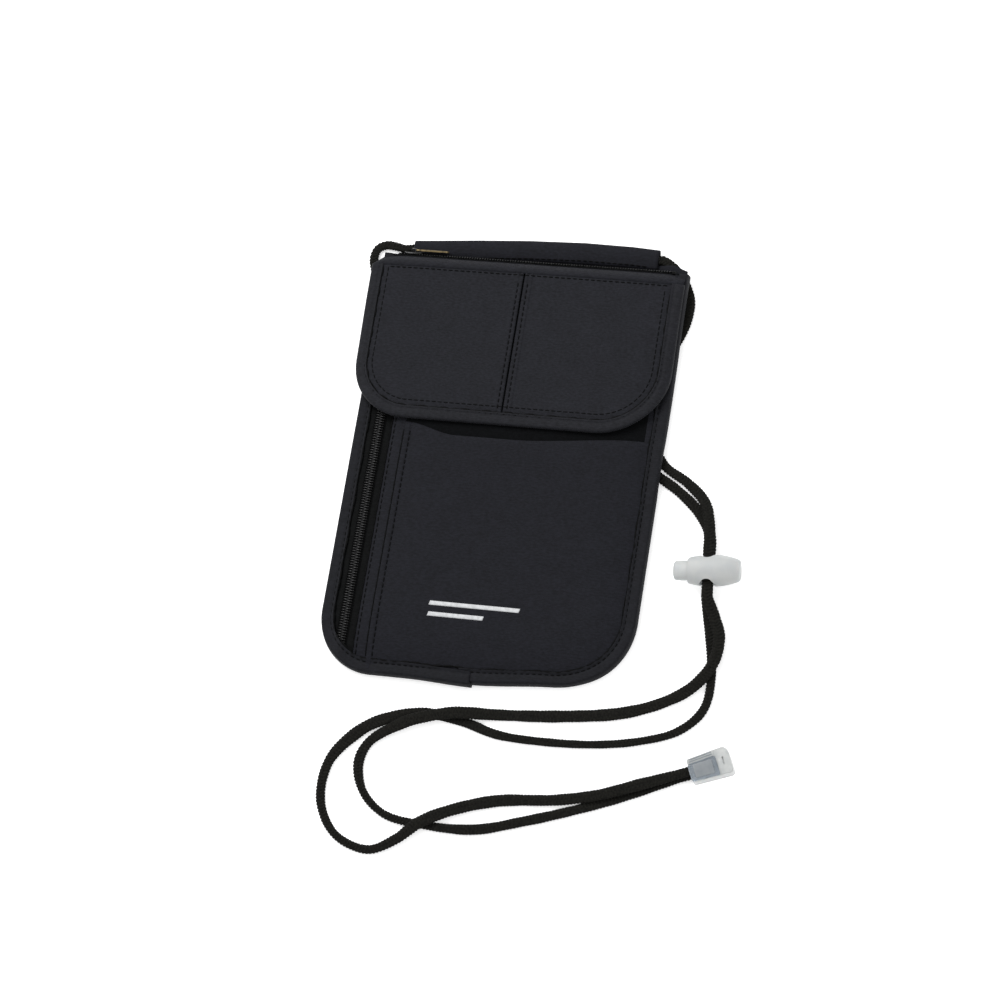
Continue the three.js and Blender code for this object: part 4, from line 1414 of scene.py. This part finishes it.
def slider(name, at, frame, node, body):
    """Shield-shaped plates above and below the chain, with a divider, side rails and two ears."""
    shells = Shells()
    half = [
        (-4.5, 1.6), (-4.2, 2.25), (-3.2, 2.75), (-0.5, 2.8), (2.2, 2.35), (3.9, 1.95), (4.5, 1.3),
    ]
    outline = np.array([(x, -y) for x, y in half] + [(x, y) for x, y in half[::-1]]) * MM
    shells.plate(outline, 0.85 * MM, 1.4 * MM, 0.18 * MM)
    shells.plate(outline, -1.4 * MM, -0.85 * MM, 0.18 * MM)
    divider = rounded_box((-3.5 * MM, -0.35 * MM), (-0.5 * MM, 0.35 * MM), [0.2 * MM] * 4)
    shells.plate(divider, -1 * MM, 1 * MM, 0.05 * MM)
    for side in (-1, 1):
        rail = np.array([
            (-3.6, side * 2.72, 0.75), (-2.6, side * 2.78, 0.72), (-0.5, side * 2.8, 0.72),
            (2.2, side * 2.36, 0.75), (3.7, side * 2.02, 0.8),
        ]) * MM
        shells.tubes(rail[None], np.array([0.16, 0.3, 0.32, 0.3, 0.16]) * MM, sides=8)
        arch = [
            (-0.95, 0.9), (-0.95, 2.3), (-0.6, 2.8), (0.0, 2.98), (0.6, 2.8), (0.95, 2.3),
            (0.95, 0.9),
        ]
        path = np.array([(x, side * 1.7, z) for x, z in arch]) * MM
        shells.tubes(path[None], 0.3 * MM, sides=8)
    pin = np.array([(0.0, y, PIN_HEIGHT) for y in (-1.75, -0.6, 0.6, 1.75)]) * MM
    shells.tubes(pin[None], 0.3 * MM, sides=10)
    middle = frame[1] + frame[0] @ np.array([at, 0, 0])
    finish_piece(shells.make_hard(name, [METAL], (frame[0], middle)), body, "zip_metal", node)


def pull(name, at, frame, node, body):
    """A flat tab on a knuckle that turns on the slider's pin, pressed to a recess on each face."""
    shells = Shells()
    turns = [2 * math.pi * step / 20 for step in range(20)]
    knuckle = [(0.70 * math.cos(angle), 0.70 * math.sin(angle)) for angle in turns]
    for side in (-0.8, 0.8):
        ring = np.array([(x, side, z) for x, z in knuckle + knuckle[:1]]) * MM
        shells.tubes(ring[None], 0.17 * MM, sides=6)
    neck = [(0.6, -1.1), (2.6, -1.05), (3.8, -1.9), (3.8, 1.9), (2.6, 1.05), (0.6, 1.1)]
    neck = np.array(neck) * MM
    shells.plate(neck, -0.38 * MM, 0.38 * MM, 0.1 * MM, edge_kind=1)
    tab_radii = np.array([1.5, 1.5, 0.7, 0.7]) * MM
    tab = rounded_box((3.4 * MM, -2.0 * MM), (17.0 * MM, 2.0 * MM), tab_radii)
    shells.plate(tab, -0.4 * MM, 0.4 * MM, 0.1 * MM, edge_kind=1)
    rim = rounded_box((5.2 * MM, -1.1 * MM), (15.6 * MM, 1.1 * MM), [0.9 * MM] * 4)
    rim = np.vstack([rim, rim[:1]])
    for face in (-1, 1):
        path = np.column_stack([rim, np.full(len(rim), face * 0.4 * MM)])
        shells.tubes(path[None], 0.14 * MM, sides=5)
    pin = frame[1] + frame[0] @ np.array([at, 0, PIN_HEIGHT * MM])
    piece = shells.make_hard(name, [METAL, BRASS], (frame[0], pin))
    finish_piece(piece, body, "zip_metal", node)


def make_zip(name, length, frame, coils, stops, slider_at, pull_body):
    """Coils, stops, slider and pull. `coils` has each side's name and direction, `stops` the ends."""
    for side, way in coils:
        coil(f"{name}_teeth_{side}", length, way, frame, f"{name}_coil_{side}")
    for end, at in zip(stops, (-1.8 * MM, length + 0.3 * MM)):
        stop(f"{name}_{end}_staple", at, frame, f"{name}_{end}_stop")
    body = name.replace("_zip", "_slider")
    slider(f"{name}_slider_shell", slider_at, frame, f"{name}_slider", body)
    pull(f"{name}_pull_tab", slider_at, frame, f"{name}_pull", pull_body)


def make_side_zip():
    coils = (("inner", 1), ("outer", -1))
    make_zip("side_zip", 188 * MM, SIDE_FRAME, coils, ("top", "bottom"), 9.5 * MM, "side_slider")
    tuck = 2.4 * MM
    for side, start, end in (
        ("outer", BODY["left"] + tuck, -63.0 * MM), ("inner", -62.2 * MM, -54.0 * MM),
    ):
        x, y = outline_grid(BODY, tuck, 204 * MM, spaced(start, end, 1.0 * MM), 2.0 * MM)
        high = front_height(x, y) + 0.02 * MM
        if side == "inner":
            high = np.minimum(high, TAPE_LEVEL + 0.02 * MM)
        tape = thin_solid(f"side_zip_tape_{side}_cloth", x, y, high, high - 0.35 * MM, ZIP_TAPE)
        finish_sheet(tape, "pouch", "zip_tape", f"side_zip_tape_{side}")


def make_top_zip():
    coils = (("front", -1), ("rear", 1))
    make_zip("top_zip", 132 * MM, TOP_FRAME, coils, ("left", "right"), 5.5 * MM, "top_pull")
    for side, start, end in (("front", -3.9, -0.4), ("rear", 0.4, 5.2)):
        x, y = np.meshgrid(np.linspace(-4, 136, 90) * MM, np.linspace(start, end, 8) * MM)
        z = np.full_like(x, -0.38 * MM)
        if side == "rear":
            z = z - 1.2 * MM * smooth_step((y - 3 * MM) / (2.2 * MM))
        tape = thin_solid(
            f"top_zip_tape_{side}_cloth", x, y, z, z - 0.3 * MM, ZIP_TAPE,
            lambda points: points @ TOP_FRAME[0].T + TOP_FRAME[1],
        )
        finish_sheet(tape, "pouch", "zip_tape", f"top_zip_tape_{side}")


make_side_zip()
make_top_zip()


def make_tape_ends():
    """The zip tape's two ends, folded flat behind the pouch's top edge."""
    for side, left, right, far in (("left", -68.6, -54.0, 210.6), ("right", 55.5, 67.0, 213.0)):
        x, y = np.meshgrid(np.linspace(left, right, 14) * MM, np.linspace(205.2, far, 12) * MM)
        z = 0.4 * MM + 0.08 * MM * ripple(x, y, 4.0)
        fold = thin_solid(f"top_zip_tape_{side}_end", x, y, z + 0.15 * MM, z - 0.15 * MM, ZIP_TAPE)
        finish_piece(fold, "pouch", "zip_tape")


make_tape_ends()

# ---- cord lock ----

LOCK_FRAME = (turned("Z", 5), np.array([107.1, 63.25, 6.0]) * MM)
SLOT_MIDDLE = -2.9  # mm along the barrel to the middle of the cords' hole
LOCK_SQUASH = 5.8 / 7.4  # height over width of the barrel
PLUNGER_SQUASH = 0.787


def ring_solid(name, rings):
    """A closed frosted solid of the cord lock through rings of points, in mm."""
    rings = np.array(rings) * MM
    shells = Shells()
    shells.add(rings.reshape(-1, 3), tube_faces(*rings.shape[:2]))
    return weld(shells.make(name, [FROSTED], LOCK_FRAME))


def lathe(name, profile, squash, sides):
    """A solid of revolution about x, squashed in z. `profile` is a closed run of (x, radius)."""
    angle = np.linspace(0, 2 * math.pi, sides, endpoint=False)
    return ring_solid(name, [
        np.column_stack([
            np.full(sides, along), radius * np.sin(angle), radius * squash * np.cos(angle),
        ])
        for along, radius in profile
    ])


def make_lock():
    """The bored barrel with its cross hole, the plunger with its window, and the spring."""
    outer = [(-12.2, 5.2), (-12.12, 5.65), (-11.8, 5.95)]
    for along in np.linspace(-11.1, 10.7, 20):
        bulge = 1 - ((along + 0.6) / 12.1) ** 2
        end = 5.9 if along < 0 else 5.2
        outer.append((along, end + (7.45 - end) * bulge))
    outer += [(11.4, 5.1), (11.9, 4.6), (12.12, 3.8), (12.25, 2.4), (12.3, 0.4)]
    barrel = lathe("cord_lock_barrel_shell", outer, LOCK_SQUASH, 56)
    bore = lathe("bore", [(-14, 4.9), (-12.4, 4.9), (10.5, 4.8), (10.6, 0.5)], 0.8, 40)
    steps = 28
    angle = np.linspace(0, 2 * math.pi, steps, endpoint=False)
    shape = np.sign(np.cos(angle)) * np.abs(np.cos(angle)) ** 0.8
    rise = np.sign(np.sin(angle)) * np.abs(np.sin(angle)) ** 0.8
    hole = ring_solid("hole", [
        np.column_stack([SLOT_MIDDLE + 3.0 * grow * shape, np.full(steps, y), 2.9 * grow * rise])
        for y, grow in ((-9, 1.25), (-7.2, 1.1), (-6.0, 1.0), (6.0, 1.0), (7.2, 1.1), (9, 1.25))
    ])
    mouths = []
    for side in (-1, 1):
        rings = [
            np.column_stack([
                SLOT_MIDDLE + 3.5 * grow * np.cos(angle), np.full(steps, side * reach),
                4.5 * grow * np.sin(angle),
            ])
            for reach, grow in ((4.7, 0.82), (5.3, 0.96), (7.2, 1.08), (9.0, 1.2))
        ]
        mouths.append(ring_solid("mouth", rings[::side]))
    cut(barrel, bore, hole, *mouths)
    sharpen(barrel)
    finish_piece(barrel, "lock", "frosted_plastic", "cord_lock_barrel")

    button = [
        (-18.7, 0.5), (-18.68, 3.2), (-18.45, 3.9), (-18.0, 4.4), (-17.3, 4.62), (-14.0, 4.66),
        (-12.2, 4.6), (-4.0, 4.55), (1.5, 4.5), (1.7, 4.3), (1.75, 0.5),
    ]
    plunger = lathe("cord_lock_plunger_shell", button, PLUNGER_SQUASH, 48)
    shells = Shells()
    outline = rounded_box((-9.5 * MM, -9 * MM), (0.2 * MM, 9 * MM), [0.8 * MM] * 4, 4)
    shells.plate(outline, -2.65 * MM, 2.65 * MM, 0.3 * MM)
    window = weld(shells.make("window", [FROSTED], LOCK_FRAME))
    cut(plunger, window)
    sharpen(plunger)
    finish_piece(plunger, "lock_button", "frosted_plastic", "cord_lock_plunger")

    turns, start, length, radius, wire = 5, 2.45, 7.6, 2.4, 0.32
    share = np.linspace(0, 1, 200)
    angle = 2 * math.pi * turns * share
    path = np.stack([start + length * share, radius * np.cos(angle), radius * np.sin(angle)], -1)
    shells = Shells()
    shells.tubes(path[None] * MM, wire * MM, sides=10)
    spring = shells.make("cord_lock_spring_wire", [STEEL], LOCK_FRAME)
    finish_piece(spring, "lock", "spring_steel", "cord_lock_spring")
    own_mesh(spring)
    return barrel, plunger


# ---- cord end ----

CLIP_FRAME = (turned("Z", 24.2), np.array([118.0, -27.0, 0.0]) * MM)


def clip_outline(low, high, radii, steps=6):
    """An outline, given in mm, on the cord end, which widens from 11 mm at its entry to 13.2 mm."""
    outline = rounded_box(np.array(low), np.array(high), radii, steps)
    outline[:, 1] *= 1.1 + 0.2 * outline[:, 0] / 19.4
    return outline * MM


def make_clip():
    """The cord end: a base with a trough and a slot, and a cover with a pane, a strip and ribs."""
    shells = Shells()
    outline = clip_outline((-9.7, -5.5), (9.7, 5.5), [1.8, 3.2, 1.2, 1.2], 8)
    shells.plate(outline, 0.0, 6.2 * MM, 0.45 * MM)
    base = weld(shells.make("cord_end_base_shell", [CLEAR], CLIP_FRAME))
    cutters = []
    for low, high, bottom, top in (
        ((-12, -3.6), (3.0, 3.6), 0.8, 9.0),
        ((6.0, -1.8), (6.7, 1.9), 5.2, 9.0),
    ):
        shells = Shells()
        box_outline = rounded_box(np.array(low) * MM, np.array(high) * MM, [0.15 * MM] * 4, 3)
        shells.plate(box_outline, bottom * MM, top * MM, 0.05 * MM)
        cutters.append(weld(shells.make("cutter", [CLEAR], CLIP_FRAME)))
    cut(base, *cutters)
    sharpen(base)
    finish_piece(base, "pouch", "clear_plastic", "cord_end_base")

    shells = Shells()
    for low, high, radii, bottom, top, bevel, kind in (
        ((-9.7, -5.5), (3.4, 2.5), [0.6, 0.6, 0.6, 1.2], 6.5, 7.5, 0.25, 0),
        ((-7.4, -4.3), (1.4, 1.9), [0.5] * 4, 7.4, 7.75, 0.15, 1),
        ((-9.3, 2.2), (3.0, 5.3), [0.4] * 4, 6.45, 6.8, 0.08, 2),
    ):
        outline = clip_outline(low, high, radii)
        shells.plate(outline, bottom * MM, top * MM, bevel * MM, kind=kind)
    for inset, line in ((0.3, 2.75), (0.6, 3.7), (0.9, 4.6)):
        rib = clip_outline((-9.2 + inset, line - 0.12), (3.0 - inset, line + 0.12), [0.1] * 4, 3)
        shells.plate(rib, 6.75 * MM, 7.15 * MM, 0.06 * MM)
    lid = shells.make_hard("cord_end_cover_shell", [WINDOW, PANE, CLEAR], CLIP_FRAME)
    finish_piece(lid, "end_cover", "clear_plastic", "cord_end_cover")
    return base, lid


HARD_PIECES = [*make_lock(), *make_clip()]
